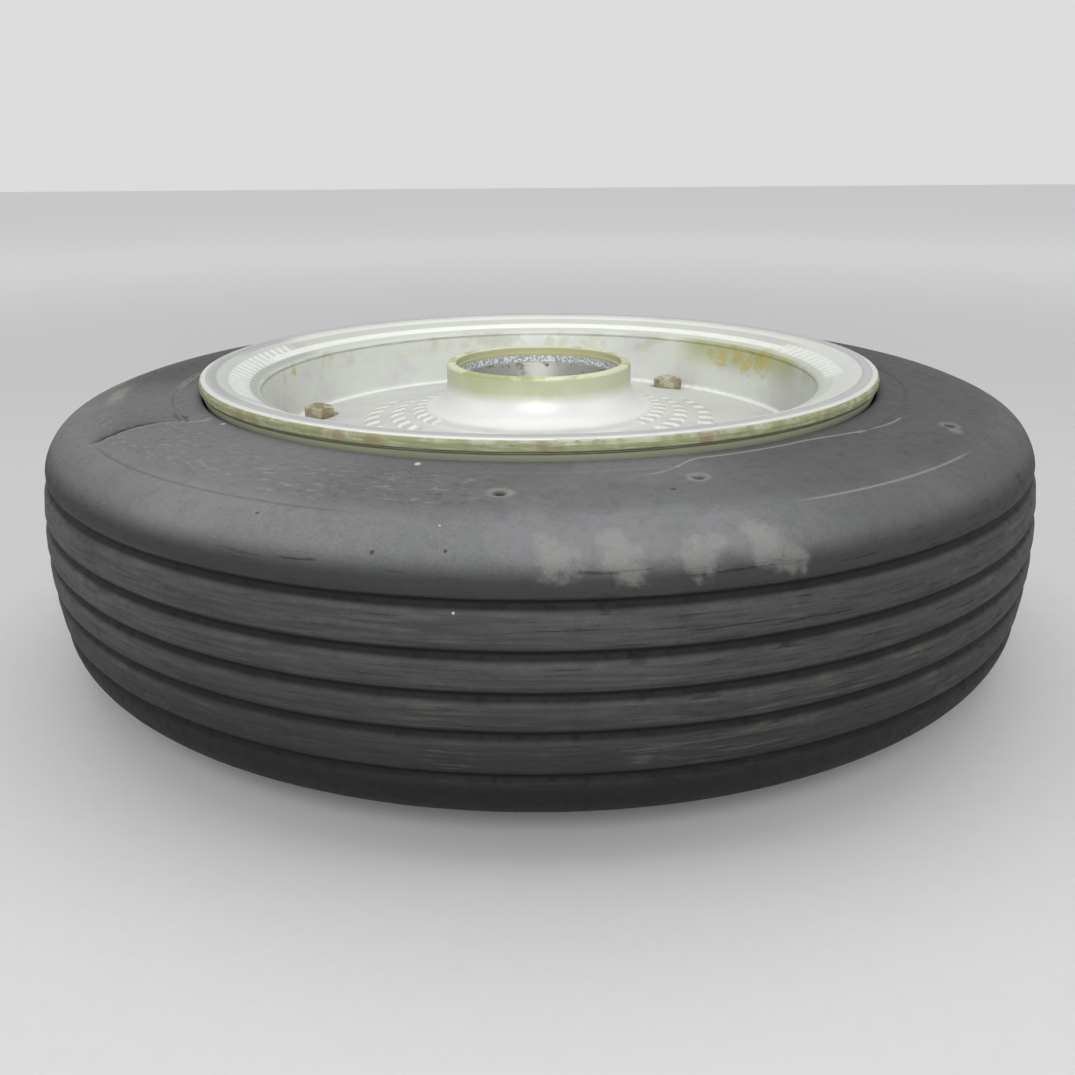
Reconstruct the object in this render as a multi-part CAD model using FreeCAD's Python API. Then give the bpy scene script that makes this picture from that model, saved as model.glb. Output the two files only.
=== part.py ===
import FreeCAD, Part
import math
import os

# Split nose wheel for a light aircraft, with a worn ribbed tubeless tyre, lying on its inboard flange.
# The origin is the wheel's centre: Z is the axle's axis, and +Z is the outboard side, which faces up.
# Millimetres and degrees throughout. Outlines are given as (radius, height, fillet) round the axle.

# ---- rim, shared by both wheel halves ----
bead_width = 93.98              # between the flanges' bead faces
bead_seat_radius = 127.0
flange_width = 14.3             # from a bead face out to the flange's top
flange_rise = 22.2              # of its edge over the bead seat
bead_seat_taper = 5.0
bead_ledge_width = 20.0         # from a flange's bead face in to the edge of the well
well_drop = 4.5                 # of the well below the bead seat
well_ramp = 3.0                 # axial run of the ramp from the well up to the bead ledge
drum_wall = 10.5                # at the joint between the halves
flange_edge_height = 4.6        # outer band of the flange's edge
flange_edge_step = 1.1          # how far the lower band stands in from it
flange_curl = 9.5               # radius that turns the bead face out to the flange's edge
bead_heel = 6.5                 # fillet where the bead face meets the bead seat
lip_flat = 8.5                  # flat outer ring of the flange's face
lip_edge_drop = 2.8             # below the bead seat, where the face ends and the dish wall starts
lip_fall = 7.2                  # the flange's face falls by this to that edge
dish_wall_draft = 4.2           # the dish wall's foot stands in from its top by this
dish_depth = 32.4               # from the flange's face down to the foot of the dish wall
flange_top_rounding = 2.2
flange_edge_rounding = 0.8
flange_band_rounding = 0.4
flange_face_curve = 12.0        # fillet where the face starts to fall
lip_edge_rounding = 2.0
dish_foot_fillet = 2.5
well_fillet = 3.0
ledge_rounding = 2.0

# ---- web and hub ----
web_thickness = 8.5
web_rise = 5.6                  # the web climbs by this from the foot to the outermost ring step
ring_offsets = (36.7, 24.7, 14.7)  # steps turned in the web, out from the hub's side
ring_step = 1.0
ring_run = 2.0                  # radial run of one step
ring_land_rise = 1.1            # climb of the land between two steps
hub_wall = 5.084                # round the bearing cup
hub_setback = 0.9               # hub face below the flange's face
hub_flare = 13.0                # fillet from the hub's side into the web
cup_shoulder = 6.716            # radial width of the step that the cup stands on
hub_tube_wall = 9.0             # inner part of the hub, between the webs
hub_rounding = 1.3
hub_mouth_rounding = 0.6
ring_foot_fillet = 2.5
ring_rounding = 0.8
cavity_rounding = 1.0
web_back_fillets = (6.0, 8.0)   # on the web's hidden face, at the drum and at the hub
web_extra_thickness = (-0.8, 1.0)  # there, on top of the web's thickness
entrance_step = 0.884           # radial, from the cup's seat to the counterbore at the hub's mouth
outboard_entrance_depth = 3.0

# ---- tapered roller bearing ----
cup_radius = 36.716
cup_width = 14.732
cup_seat_play = 0.01
outboard_cup_depth = 7.0        # cup's outer edge below the hub face
cone_bore_radius = 20.638
cone_width = 19.812
bearing_width = 19.558          # from the cup's back to the cone's back
cup_wall = 2.216                # at the race's wide end
cup_angle = 15.0                # half angle of the cup's race
cone_angle = 12.0               # half angle of the cone's race
roller_gap = 1.2                # least room between two rollers at their big ends
roller_length = 13.4
roller_start = 2.3              # height of the roller's axis at its small end
roller_play = 0.02              # to each race
rib_play = 0.08                 # from the rollers' big ends to the cone's rib
roller_chamfer = 0.4
cup_rounding = (0.4, 1.2, 1.0, 0.3)  # at the cup's four corners, back face first
bore_rounding = (0.8, 1.6)      # at the cone's bore, small end and back face
cone_rounding = (0.4, 0.8)      # at its small rib and its large rib
cone_rib_drop = 4.6             # radius of the cone's large rib below the race's mouth
cone_small_rib_drop = 9.0       # and of its small rib
cage_thickness = 1.0
cage_to_race = 0.93             # from the cage to the cup's race, at the rollers' small ends
cage_play = 0.3
window_reach = 8.0              # radial reach of the cutter for a window
cage_overhang = 3.0             # beyond each end of the rollers
cage_lip_play = 0.45            # round the cone's small rib
cage_lip_bend = 0.8

# ---- inboard grease seal ----
snap_ring_depth = 1.8           # groove's outer wall below the hub face
snap_ring_thickness = 1.5
snap_groove_depth = 1.2         # radial
snap_ring_width = 3.2
snap_ring_gap = 16.0            # degrees left open
snap_eye_radius = 2.3
snap_eye_hole = 1.1
snap_eye_overlap = 0.4          # share of the eye's radius that lies inside the band's inner edge
seal_outer_thickness = 1.0
seal_felt_thickness = 3.5
seal_inner_thickness = 0.8
seal_play = 0.1
seal_to_cone = 0.3
seal_steel_bore = 22.0
seal_felt_bore = 20.9

# ---- joint between the halves ----
spigot_width = 3.9
spigot_height = 2.8
spigot_play = 0.1
seal_groove_inset = 3.5         # of its middle from the well's surface
seal_groove_width = 2.8
seal_groove_depth = 2.5
seal_ring_play = 0.05

# ---- tie bolts ----
bolt_count = 3
bolt_inset = 13.0               # bolt centres in from the dish wall's foot
first_bolt_angle = 50.0
bolt_radius = 3.97
bolt_hole_play = 0.14
nut_thread_play = 0.05
bolt_boss_margin = 1.8          # of the boss round the washer
bolt_pad_rise = 1.0             # nut and head seats above the foot of the dish wall
spot_face_height = 8.0
spot_face_play = 0.4            # radial, round the boss
hex_chamfer_slope = 0.6
bolt_head_height = 4.7
nut_height = 4.9
bolt_end = 1.2                  # thread standing out of the nut
bolt_end_chamfer = 1.0
washer_band = 3.24              # of the washer, outside the bolt
washer_thickness = 0.9

# ---- valve ----
valve_angle = 230.0             # midway between two tie bolts
valve_tilt = 30.0               # leans in towards the axle
valve_exit_drop = 42.75         # where its axis leaves the well, below the flange's face
valve_seat = 17.0               # along the axis, from the well to the pad in the dish
valve_pad_radius = 8.0
valve_pad_start = 11.0
valve_air_radius = 2.6
valve_thread_radius = 4.4
valve_thread_play = 0.1
valve_thread_start = 3.0
valve_thread_chamfer = 0.5
valve_hex = 12.0
valve_hex_height = 4.0
valve_neck_radius = 3.87
valve_neck_length = 8.5
valve_neck_chamfer = 0.6
valve_bore_radius = 2.2
valve_core_play = 0.08
valve_core_length = 16.0
valve_core_depth = 1.0          # its pin's tip below the neck's end
valve_core_tip = 0.7            # radial taper of the core's lower end
valve_core_tip_length = 3.0
valve_pin_length = 3.0
valve_pin_radius = 0.8
valve_seal_radius = 5.4
valve_seal_section = 1.4
valve_cap_radius = 4.9
valve_cap_length = 9.8
valve_cap_wall = 0.9
valve_cap_play = 0.1
valve_cap_crown = 1.5           # chamfer round the closed end
valve_cap_gap = 0.2             # open end to the hexagon

# ---- tyre ----
section_rise = 66.0             # of the tread over the flange's edge
sidewall_peak_rise = 26.8       # where the section is widest, over the flange's edge
sidewall_stand = 6.15           # of the sidewall at the rim, outside the bead face
sidewall_fall = 0.5             # from there in to the widest part's plane
sidewall_curve = 58.0
shoulder_curve = 22.0
shoulder_lean = 23.0            # of the shoulder from the sidewall's plane
crown_curve = 170.0
shoulder_band = 21.64           # from the outermost groove's edge to the sidewall's plane
groove_place = 0.4595           # of the groove between the middle and outermost ones
groove_width = 5.2
groove_depth = 2.6
groove_lip = 3.5
groove_root = 0.9
rim_edge_play = -0.3            # tyre's inner edge, from the flange's radius
rim_ring_rise = 11.1            # fine moulded ring on the sidewall, out from that edge
rim_ring_depth = 0.5
rim_ring_width = 1.6
vent_angles = (266.0, 287.0, 328.0)  # moulded vent marks on the outboard sidewall
vent_rises = (30.8, 22.8, 32.8)  # out from the flange's edge
vent_dish_radius = 4.2
vent_dish_depth = 0.5
vent_hole_radius = 0.9
vent_hole_depth = 2.4
bead_play = 0.3
bead_seat_play = 0.1
bead_base_width = 19.4
sidewall_thickness = 9.0
wall_taper = 0.6                # how much thicker the sidewall is at its foot
crown_thickness = 13.5
bead_corner = 5.0               # fillet from the sidewall's foot to the bead's flat
bead_heel_extra = 0.8           # on top of the rim's own fillet
bead_toe_rounding = 1.5
bead_height = 12.0              # of the thick bead over its seat
bead_slope = 3.0                # its inner face climbs by this from the toe
bead_fillet = 8.0
sidewall_foot_rise = 4.5        # inside, where the bead meets the sidewall, out from the tyre's edge
sidewall_foot_fillet = 12.0
sidewall_inner_curve = 22.0
sidewall_inner_inset = 3.0      # of that curve's corner, in from the outer one
crown_inner_curve = 12.0
crown_inner_inset = 1.0         # of the inner crown's corner from the outermost groove's edge
rim_edge_rounding = 1.5
rim_ring_rounding = 0.3

flange_radius = bead_seat_radius + flange_rise
well_radius = bead_seat_radius - well_drop
drum_inner_radius = well_radius - drum_wall
lip_edge_radius = bead_seat_radius - lip_edge_drop
dish_foot_radius = lip_edge_radius - dish_wall_draft
seal_groove_radius = well_radius - seal_groove_inset
bead_face = bead_width / 2
flange_face = bead_face + flange_width
hub_face = flange_face - hub_setback
hub_radius = cup_radius + hub_wall
hub_cavity_radius = cup_radius - cup_shoulder
hub_tube_radius = hub_cavity_radius + hub_tube_wall
entrance_radius = cup_radius + entrance_step
ring_radii = [hub_radius + offset for offset in ring_offsets]
bolt_circle_radius = dish_foot_radius - bolt_inset
bolt_pad = flange_face - dish_depth + bolt_pad_rise
washer_radius = bolt_radius + washer_band
bolt_boss_radius = washer_radius + bolt_boss_margin
hex_across_flats = 3.2 * bolt_radius
valve_exit_height = flange_face - valve_exit_drop
rim_edge_radius = flange_radius + rim_edge_play
rim_edge_height = bead_face + sidewall_stand
rim_ring_radius = rim_edge_radius + rim_ring_rise
tyre_half_width = rim_edge_height - sidewall_fall
tyre_radius = flange_radius + section_rise
sidewall_peak_radius = flange_radius + sidewall_peak_rise
tread_edge = tyre_half_width - shoulder_band
outer_groove = tread_edge - groove_width / 2
groove_offsets = (groove_place * outer_groove, outer_groove)
race_mouth_radius = cup_radius - cup_wall
cone_rib_radius = race_mouth_radius - cone_rib_drop
cone_small_rib_radius = race_mouth_radius - cone_small_rib_drop
cage_lip_radius = cone_small_rib_radius + cage_lip_play
apex_depth = race_mouth_radius / math.tan(math.radians(cup_angle)) - cup_width
roller_lean = (cup_angle + cone_angle) / 2
roller_half_angle = (cup_angle - cone_angle) / 2
entrance_depth = {1: outboard_entrance_depth}
cup_depth = {1: outboard_cup_depth}
seal_seat_depth = (snap_ring_depth + snap_ring_thickness + seal_play + seal_outer_thickness
                   + seal_felt_thickness + seal_inner_thickness)
entrance_depth[-1] = seal_seat_depth
cup_depth[-1] = seal_seat_depth + seal_to_cone + bearing_width - cup_width

X = FreeCAD.Vector(1, 0, 0)
Y = FreeCAD.Vector(0, 1, 0)
Z = FreeCAD.Vector(0, 0, 1)
CENTRE = FreeCAD.Vector(0, 0, 0)


def at(radius, height):
    """Point in the XZ plane at a radius and height."""
    return FreeCAD.Vector(radius, 0, height)


def outline_face(corners):
    """Flat face in the XZ plane whose corners are rounded by arcs that touch both sides."""
    points = [at(corner[0], corner[1]) for corner in corners]
    fillets = [corner[2] if len(corner) > 2 else 0 for corner in corners]
    count = len(points)
    reaches = []
    for i in range(count):
        to_last = points[i - 1] - points[i]
        to_next = points[(i + 1) % count] - points[i]
        half_turn = (math.pi - to_last.getAngle(to_next)) / 2
        reaches.append(fillets[i] * math.tan(half_turn))
    shares = []
    for i in range(count):
        run = (points[(i + 1) % count] - points[i]).Length
        wanted = reaches[i] + reaches[(i + 1) % count]
        shares.append(min(1, 0.98 * run / wanted) if wanted else 1)
    edges = []
    last = None
    first = None
    for i in range(count):
        here = points[i]
        reach = reaches[i] * min(shares[i - 1], shares[i])
        back = (points[i - 1] - here).normalize()
        ahead = (points[(i + 1) % count] - here).normalize()
        start = here + back * reach
        end = here + ahead * reach
        if last:
            edges.append(Part.LineSegment(last, start).toShape())
        else:
            first = start
        if reach > 1e-6:
            half_angle = back.getAngle(ahead) / 2
            radius = reach * math.tan(half_angle)
            middle = here + (back + ahead).normalize() * (radius / math.sin(half_angle) - radius)
            edges.append(Part.Arc(start, middle, end).toShape())
        last = end
    edges.append(Part.LineSegment(last, first).toShape())
    return Part.Face(Part.Wire(edges))


def ring(corners, side=1):
    """Solid of revolution round the axle. Side -1 turns the outline over to the inboard side."""
    flipped = [(corner[0], side * corner[1]) + tuple(corner[2:]) for corner in corners]
    return outline_face(flipped).revolve(CENTRE, Z, 360)


def washer_ring(inner, outer, low, high, side=1):
    return ring([(inner, low), (outer, low), (outer, high), (inner, high)], side)


def hexagon(across_flats, low, high, chamfered):
    """Hexagonal prism on the Z axis, its corners turned off at the ends named in chamfered."""
    corner = across_flats / math.sqrt(3)
    points = [FreeCAD.Vector(corner * math.cos(math.radians(60 * i)),
                             corner * math.sin(math.radians(60 * i)), low) for i in range(7)]
    prism = Part.Face(Part.makePolygon(points)).extrude(Z * (high - low))
    flat = across_flats / 2
    drop = (corner - flat) * hex_chamfer_slope
    turned = [(0, low), (flat if low in chamfered else corner, low)]
    if low in chamfered:
        turned.append((corner, low + drop))
    if high in chamfered:
        turned += [(corner, high - drop), (flat, high)]
    else:
        turned.append((corner, high))
    turned.append((0, high))
    return prism.common(ring(turned))


def placed(shape, turn_axis=None, turn=0, shift=None):
    """Copy of a shape, turned about an axis through the origin and then shifted."""
    copy = shape.copy()
    if turn_axis is not None:
        copy.rotate(CENTRE, turn_axis, turn)
    if shift is not None:
        copy.translate(shift)
    return copy


def round_pattern(shape, count, first_angle):
    return [placed(shape, Z, first_angle + 360 * i / count) for i in range(count)]


def save(name, shapes):
    """Write one node: one solid, or a group of separate solids."""
    solids = [solid for shape in shapes for solid in shape.Solids]
    group = solids[0] if len(solids) == 1 else Part.makeCompound(solids)
    group.exportStep("parts/" + name + ".step")


# ---- wheel halves ----
def web_face_corners():
    """Outer face of the web from the foot of the dish wall in to the hub, over the turned steps."""
    height = flange_face - dish_depth
    corners = [(dish_foot_radius, height, dish_foot_fillet)]
    height += web_rise
    for radius in ring_radii:
        corners.append((radius + ring_run, height, ring_foot_fillet))
        height += ring_step
        corners.append((radius, height, ring_rounding))
        height += ring_land_rise
    corners.append((hub_radius, height, hub_flare))
    return corners


def half_corners(side):
    """Section of one wheel half, drawn for the side that faces up."""
    ledge_edge = bead_face - bead_ledge_width
    ledge_radius = bead_seat_radius - bead_ledge_width * math.tan(math.radians(bead_seat_taper))
    band_radius = flange_radius - flange_edge_step
    band_top = flange_face - flange_edge_height
    web = web_face_corners()
    web_foot = web[0]
    web_hub = web[-1]
    shoulder = hub_face - cup_depth[side] - cup_width
    seat = cup_radius + cup_seat_play
    entrance = hub_face - entrance_depth[side]
    drum_back = web_foot[1] - web_thickness - web_extra_thickness[0]
    hub_back = web_hub[1] - web_thickness - web_extra_thickness[1]
    return ([(drum_inner_radius, 0), (well_radius, 0), (well_radius, ledge_edge - well_ramp, well_fillet),
             (ledge_radius, ledge_edge, ledge_rounding), (bead_seat_radius, bead_face, bead_heel),
             (band_radius, bead_face, flange_curl), (band_radius, band_top, flange_band_rounding),
             (flange_radius, band_top, flange_edge_rounding),
             (flange_radius, flange_face, flange_top_rounding),
             (flange_radius - lip_flat, flange_face, flange_face_curve),
             (lip_edge_radius, flange_face - lip_fall, lip_edge_rounding)]
            + web
            + [(hub_radius, hub_face, hub_rounding), (entrance_radius, hub_face, hub_mouth_rounding),
               (entrance_radius, entrance), (seat, entrance), (seat, shoulder),
               (hub_cavity_radius, shoulder, cavity_rounding), (hub_cavity_radius, 0),
               (hub_tube_radius, 0), (hub_tube_radius, hub_back, web_back_fillets[1]),
               (drum_inner_radius, drum_back, web_back_fillets[0])])


def bolt_holes():
    foot = at(bolt_circle_radius, -flange_face)
    hole = Part.makeCylinder(bolt_radius + bolt_hole_play, 2 * flange_face, foot)
    return round_pattern(hole, bolt_count, first_bolt_angle)


def wheel_half(side):
    """Flange, drum, web, hub and tie-bolt bosses of one half, cast as one piece."""
    body = ring(half_corners(side), side)
    down = Z * side
    boss = Part.makeCylinder(bolt_boss_radius, bolt_pad, CENTRE, down)
    spot_face = Part.makeCylinder(bolt_boss_radius + spot_face_play, spot_face_height,
                                  Z * (side * bolt_pad), down)
    place = X * bolt_circle_radius
    body = body.fuse(round_pattern(placed(boss, shift=place), bolt_count, first_bolt_angle))
    cuts = round_pattern(placed(spot_face, shift=place), bolt_count, first_bolt_angle)
    return body.cut(cuts + bolt_holes())


def valve_frame(shape):
    """Move a shape drawn along Z from the well's surface to the valve's place."""
    return placed(placed(shape, Y, -valve_tilt, at(well_radius, valve_exit_height)), Z, valve_angle)


def outboard_half():
    spigot_recess = washer_ring(drum_inner_radius - 1.0, drum_inner_radius + spigot_width + spigot_play,
                                -1.0, spigot_height + spigot_play)
    seal_groove = washer_ring(seal_groove_radius - seal_groove_width / 2,
                              seal_groove_radius + seal_groove_width / 2, -1.0, seal_groove_depth)
    pad = Part.makeCylinder(valve_pad_radius, valve_seat - valve_pad_start, Z * valve_pad_start)
    pad_face = Part.makeCylinder(valve_pad_radius, spot_face_height, Z * valve_seat)
    thread_hole = Part.makeCylinder(valve_thread_radius + valve_thread_play, valve_seat,
                                    Z * (valve_thread_start - valve_thread_play))
    air_hole = Part.makeCylinder(valve_air_radius, 2 * valve_thread_start, Z * -valve_thread_start)
    seal_seat = Part.makeCylinder(valve_seal_radius + valve_seal_section / 2 + valve_thread_play,
                                  spot_face_height, Z * (valve_seat - valve_seal_section))
    body = wheel_half(1).fuse(valve_frame(pad))
    cuts = [valve_frame(tool) for tool in (pad_face, thread_hole, air_hole, seal_seat)]
    return body.cut([spigot_recess, seal_groove] + cuts)


def inboard_half():
    spigot = washer_ring(drum_inner_radius, drum_inner_radius + spigot_width, -1.0, spigot_height)
    groove_top = hub_face - snap_ring_depth
    snap_groove = washer_ring(entrance_radius - 1.0, entrance_radius + snap_groove_depth,
                              groove_top - snap_ring_thickness - seal_play, groove_top, -1)
    return wheel_half(-1).fuse(spigot).cut([snap_groove] + bolt_holes())


def wheel_seal_ring():
    section = seal_groove_depth / 2 - seal_ring_play
    return Part.makeTorus(seal_groove_radius, section, Z * (seal_groove_depth / 2), Z)


# ---- tyre ----
def crown_radius_at(offset):
    """Radius of the worn tread's surface at a distance from the mid-plane."""
    return tyre_radius - crown_curve + math.sqrt(crown_curve ** 2 - offset ** 2)


def groove_corners(offset):
    half = groove_width / 2
    return [(crown_radius_at(offset - half), offset - half, groove_lip),
            (crown_radius_at(offset) - groove_depth, offset, groove_root),
            (crown_radius_at(offset + half), offset + half, groove_lip)]


def tyre_half_corners():
    """Upper half of the tyre's section, from the mid-plane groove round to the inside of the crown."""
    crown_slope = tread_edge / math.sqrt(crown_curve ** 2 - tread_edge ** 2)
    lean = math.tan(math.radians(shoulder_lean))
    peak = sidewall_peak_radius + sidewall_curve * math.tan(math.radians(shoulder_lean / 2))
    edge_radius = crown_radius_at(tread_edge)
    # the shoulder's line leaves (peak, half width) and meets the crown's line
    corner_radius = ((edge_radius - crown_slope * (tyre_half_width + lean * peak - tread_edge))
                     / (1 - crown_slope * lean))
    corner_height = tyre_half_width - lean * (corner_radius - peak)
    inner_height = tyre_half_width - sidewall_thickness
    inner_crown = tyre_radius - crown_thickness
    inner_edge = tread_edge - crown_inner_inset
    bead = bead_face - bead_play
    toe = bead_face - bead_base_width
    taper = math.tan(math.radians(bead_seat_taper))
    flat_slope = (rim_edge_height - tyre_half_width) / (peak - rim_edge_radius)
    ring_height = rim_edge_height - (rim_ring_radius - rim_edge_radius) * flat_slope
    half_ring = rim_ring_width / 2
    seat = bead_seat_radius + bead_seat_play
    outer = groove_corners(0)[1:]
    for offset in groove_offsets:
        outer += groove_corners(offset)
    outer += [(corner_radius, corner_height, shoulder_curve), (peak, tyre_half_width, sidewall_curve),
              (rim_ring_radius + half_ring, ring_height, rim_ring_rounding),
              (rim_ring_radius, ring_height - rim_ring_depth, rim_ring_rounding),
              (rim_ring_radius - half_ring, ring_height, rim_ring_rounding),
              (rim_edge_radius, rim_edge_height, rim_edge_rounding), (rim_edge_radius, bead, bead_corner)]
    foot = [(seat, bead, bead_heel + bead_heel_extra), (seat - (bead - toe) * taper, toe, bead_toe_rounding)]
    inner = [(bead_seat_radius + bead_height, toe + bead_slope, bead_fillet),
             (rim_edge_radius + sidewall_foot_rise, inner_height - wall_taper, sidewall_foot_fillet),
             (peak - sidewall_inner_inset, inner_height, sidewall_inner_curve),
             (inner_crown, inner_edge, crown_inner_curve), (inner_crown, 0)]
    return outer + foot + inner


def vent(angle, rise):
    """Cutter for one vent mark: a shallow dish with a small hole in the middle."""
    place = at(flange_radius + rise, tyre_half_width)
    ball_radius = (vent_dish_radius ** 2 + vent_dish_depth ** 2) / (2 * vent_dish_depth)
    ball = Part.makeSphere(ball_radius, place + Z * (ball_radius - vent_dish_depth))
    hole = Part.makeCylinder(vent_hole_radius, vent_hole_depth + ball_radius, place - Z * vent_hole_depth)
    return placed(ball.fuse(hole), Z, angle)


def tyre():
    upper = tyre_half_corners()
    lower = [(corner[0], -corner[1]) + tuple(corner[2:]) for corner in reversed(upper[1:-1])]
    return ring(upper + lower).cut([vent(angle, rise) for angle, rise in zip(vent_angles, vent_rises)])


# ---- bearings, drawn with the cup's back face at height 0 and the wide end up ----
def along_roller(distance, offset):
    """Point at a distance from the races' common apex along a roller's axis, and out from it."""
    lean = math.radians(roller_lean)
    return (distance * math.sin(lean) + offset * math.cos(lean),
            distance * math.cos(lean) - offset * math.sin(lean) - apex_depth)


def roller_span():
    start = (apex_depth + roller_start) / math.cos(math.radians(roller_lean))
    return start, start + roller_length


def bearing_cup():
    slope = math.tan(math.radians(cup_angle))
    corners = [(apex_depth * slope, 0), (cup_radius, 0), (cup_radius, cup_width),
               (race_mouth_radius, cup_width)]
    return ring([corner + (rounding,) for corner, rounding in zip(corners, cup_rounding)])


def bearing_cone():
    slope = math.tan(math.radians(roller_half_angle))
    start, end = roller_span()
    start -= cage_play
    end += rib_play
    back = bearing_width
    front = bearing_width - cone_width
    lean = math.radians(roller_lean)
    rib_offset = (cone_rib_radius - end * math.sin(lean)) / math.cos(lean)
    small_offset = (cone_small_rib_radius - start * math.sin(lean)) / math.cos(lean)
    return ring([(cone_bore_radius, front, bore_rounding[0]),
                 (cone_small_rib_radius, front, cone_rounding[0]),
                 along_roller(start, small_offset), along_roller(start, -start * slope),
                 along_roller(end, -end * slope), along_roller(end, rib_offset),
                 (cone_rib_radius, back, cone_rounding[1]), (cone_bore_radius, back, bore_rounding[1])])


def roller_count():
    """As many rollers as fit round the cone."""
    end = roller_span()[1]
    circle = end * math.sin(math.radians(roller_lean))
    room = end * math.tan(math.radians(roller_half_angle)) + roller_gap / 2
    return int(math.pi / math.asin(room / circle))


def bearing_rollers():
    slope = math.tan(math.radians(roller_half_angle))
    start, end = roller_span()
    small = start * slope - roller_play
    large = end * slope - roller_play
    roller = ring([(0, start), (small - roller_chamfer, start), (small, start + roller_chamfer),
                   (large, end - roller_chamfer), (large - roller_chamfer, end), (0, end)])
    leaning = placed(roller, Y, roller_lean, Z * -apex_depth)
    return round_pattern(leaning, roller_count(), 0)


def bearing_cage():
    """Pressed cone with one window for each roller and a lip turned in at its small end."""
    start, end = roller_span()
    outer = start * math.tan(math.radians(roller_half_angle)) - cage_to_race
    inner = outer - cage_thickness
    lip_low = along_roller(start - cage_overhang, outer)[1]
    shell = ring([along_roller(end + cage_overhang, inner), along_roller(end + cage_overhang, outer),
                  along_roller(start - cage_overhang, outer) + (cage_lip_bend,), (cage_lip_radius, lip_low),
                  (cage_lip_radius, lip_low + cage_thickness),
                  (along_roller(start - cage_overhang + cage_thickness, inner)[0],
                   lip_low + cage_thickness, cage_lip_bend / 2)])
    half_width = end * math.tan(math.radians(roller_half_angle))
    window = Part.makeBox(window_reach, 2 * half_width, end - start + 2 * cage_play)
    window.translate(FreeCAD.Vector(0, -half_width, start - cage_play))
    leaning = placed(window, Y, roller_lean, Z * -apex_depth)
    return shell.cut(round_pattern(leaning, roller_count(), 0))


def in_hub(shape, side):
    """Put a bearing piece into the outboard (1) or inboard (-1) hub, against its shoulder."""
    shoulder = hub_face - cup_depth[side] - cup_width
    turned = placed(shape, X, 180) if side < 0 else shape
    return placed(turned, shift=Z * (side * shoulder))


# ---- inboard grease seal ----
def seal_layers():
    """The steel, felt and steel rings between the snap ring and the step in the hub."""
    rim = entrance_radius - seal_play
    height = hub_face - snap_ring_depth - snap_ring_thickness - seal_play
    layers = {}
    for name, bore, thickness in (("seal_outer_ring", seal_steel_bore, seal_outer_thickness),
                                  ("seal_felt_ring", seal_felt_bore, seal_felt_thickness),
                                  ("seal_inner_ring", seal_steel_bore, seal_inner_thickness)):
        layers[name] = washer_ring(bore, rim, height - thickness, height, -1)
        height -= thickness
    return layers


def snap_ring():
    """Open spring ring with two eyes for the pliers."""
    outer = entrance_radius + snap_groove_depth - seal_play
    inner = outer - snap_ring_width
    top = hub_face - snap_ring_depth - seal_play / 2
    low = top - snap_ring_thickness
    band = washer_ring(inner, outer, low, top, -1)
    half_gap = math.radians(snap_ring_gap / 2)
    reach = outer + 5.0
    wedge = Part.Face(Part.makePolygon([FreeCAD.Vector(0, 0, -top - 1),
                                        FreeCAD.Vector(reach, -reach * math.tan(half_gap), -top - 1),
                                        FreeCAD.Vector(reach, reach * math.tan(half_gap), -top - 1),
                                        FreeCAD.Vector(0, 0, -top - 1)]))
    band = band.cut(wedge.extrude(Z * (snap_ring_thickness + 2)))
    eye_place = X * (inner - snap_eye_radius * snap_eye_overlap)
    eye_turn = snap_ring_gap / 2 + math.degrees(snap_eye_radius / inner)
    for turn in (eye_turn, -eye_turn):
        eye = Part.makeCylinder(snap_eye_radius, snap_ring_thickness, Z * -top + eye_place)
        band = band.fuse(placed(eye, Z, turn))
    for turn in (eye_turn, -eye_turn):
        hole = Part.makeCylinder(snap_eye_hole, snap_ring_thickness + 2, Z * (-top - 1) + eye_place)
        band = band.cut(placed(hole, Z, turn))
    return band


# ---- tie bolts ----
def bolt_stack():
    """One bolt with its nut and washers on the Z axis, head on the inboard side."""
    seat = bolt_pad + washer_thickness
    end = seat + nut_height + bolt_end
    head = hexagon(hex_across_flats, -seat - bolt_head_height, -seat, (-seat - bolt_head_height,))
    shank = ring([(0, -seat - 1.0), (bolt_radius, -seat - 1.0), (bolt_radius, end - bolt_end_chamfer),
                  (bolt_radius - bolt_end_chamfer, end), (0, end)])
    nut = hexagon(hex_across_flats, seat, seat + nut_height, (seat, seat + nut_height))
    nut = nut.cut(Part.makeCylinder(bolt_radius + nut_thread_play, nut_height + 2, Z * (seat - 1)))
    hole = bolt_radius + bolt_hole_play
    washers = [washer_ring(hole, washer_radius, bolt_pad, seat, side) for side in (1, -1)]
    return {"tie_bolts": [head.fuse(shank)], "tie_bolt_nuts": [nut], "tie_bolt_washers": washers}


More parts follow.
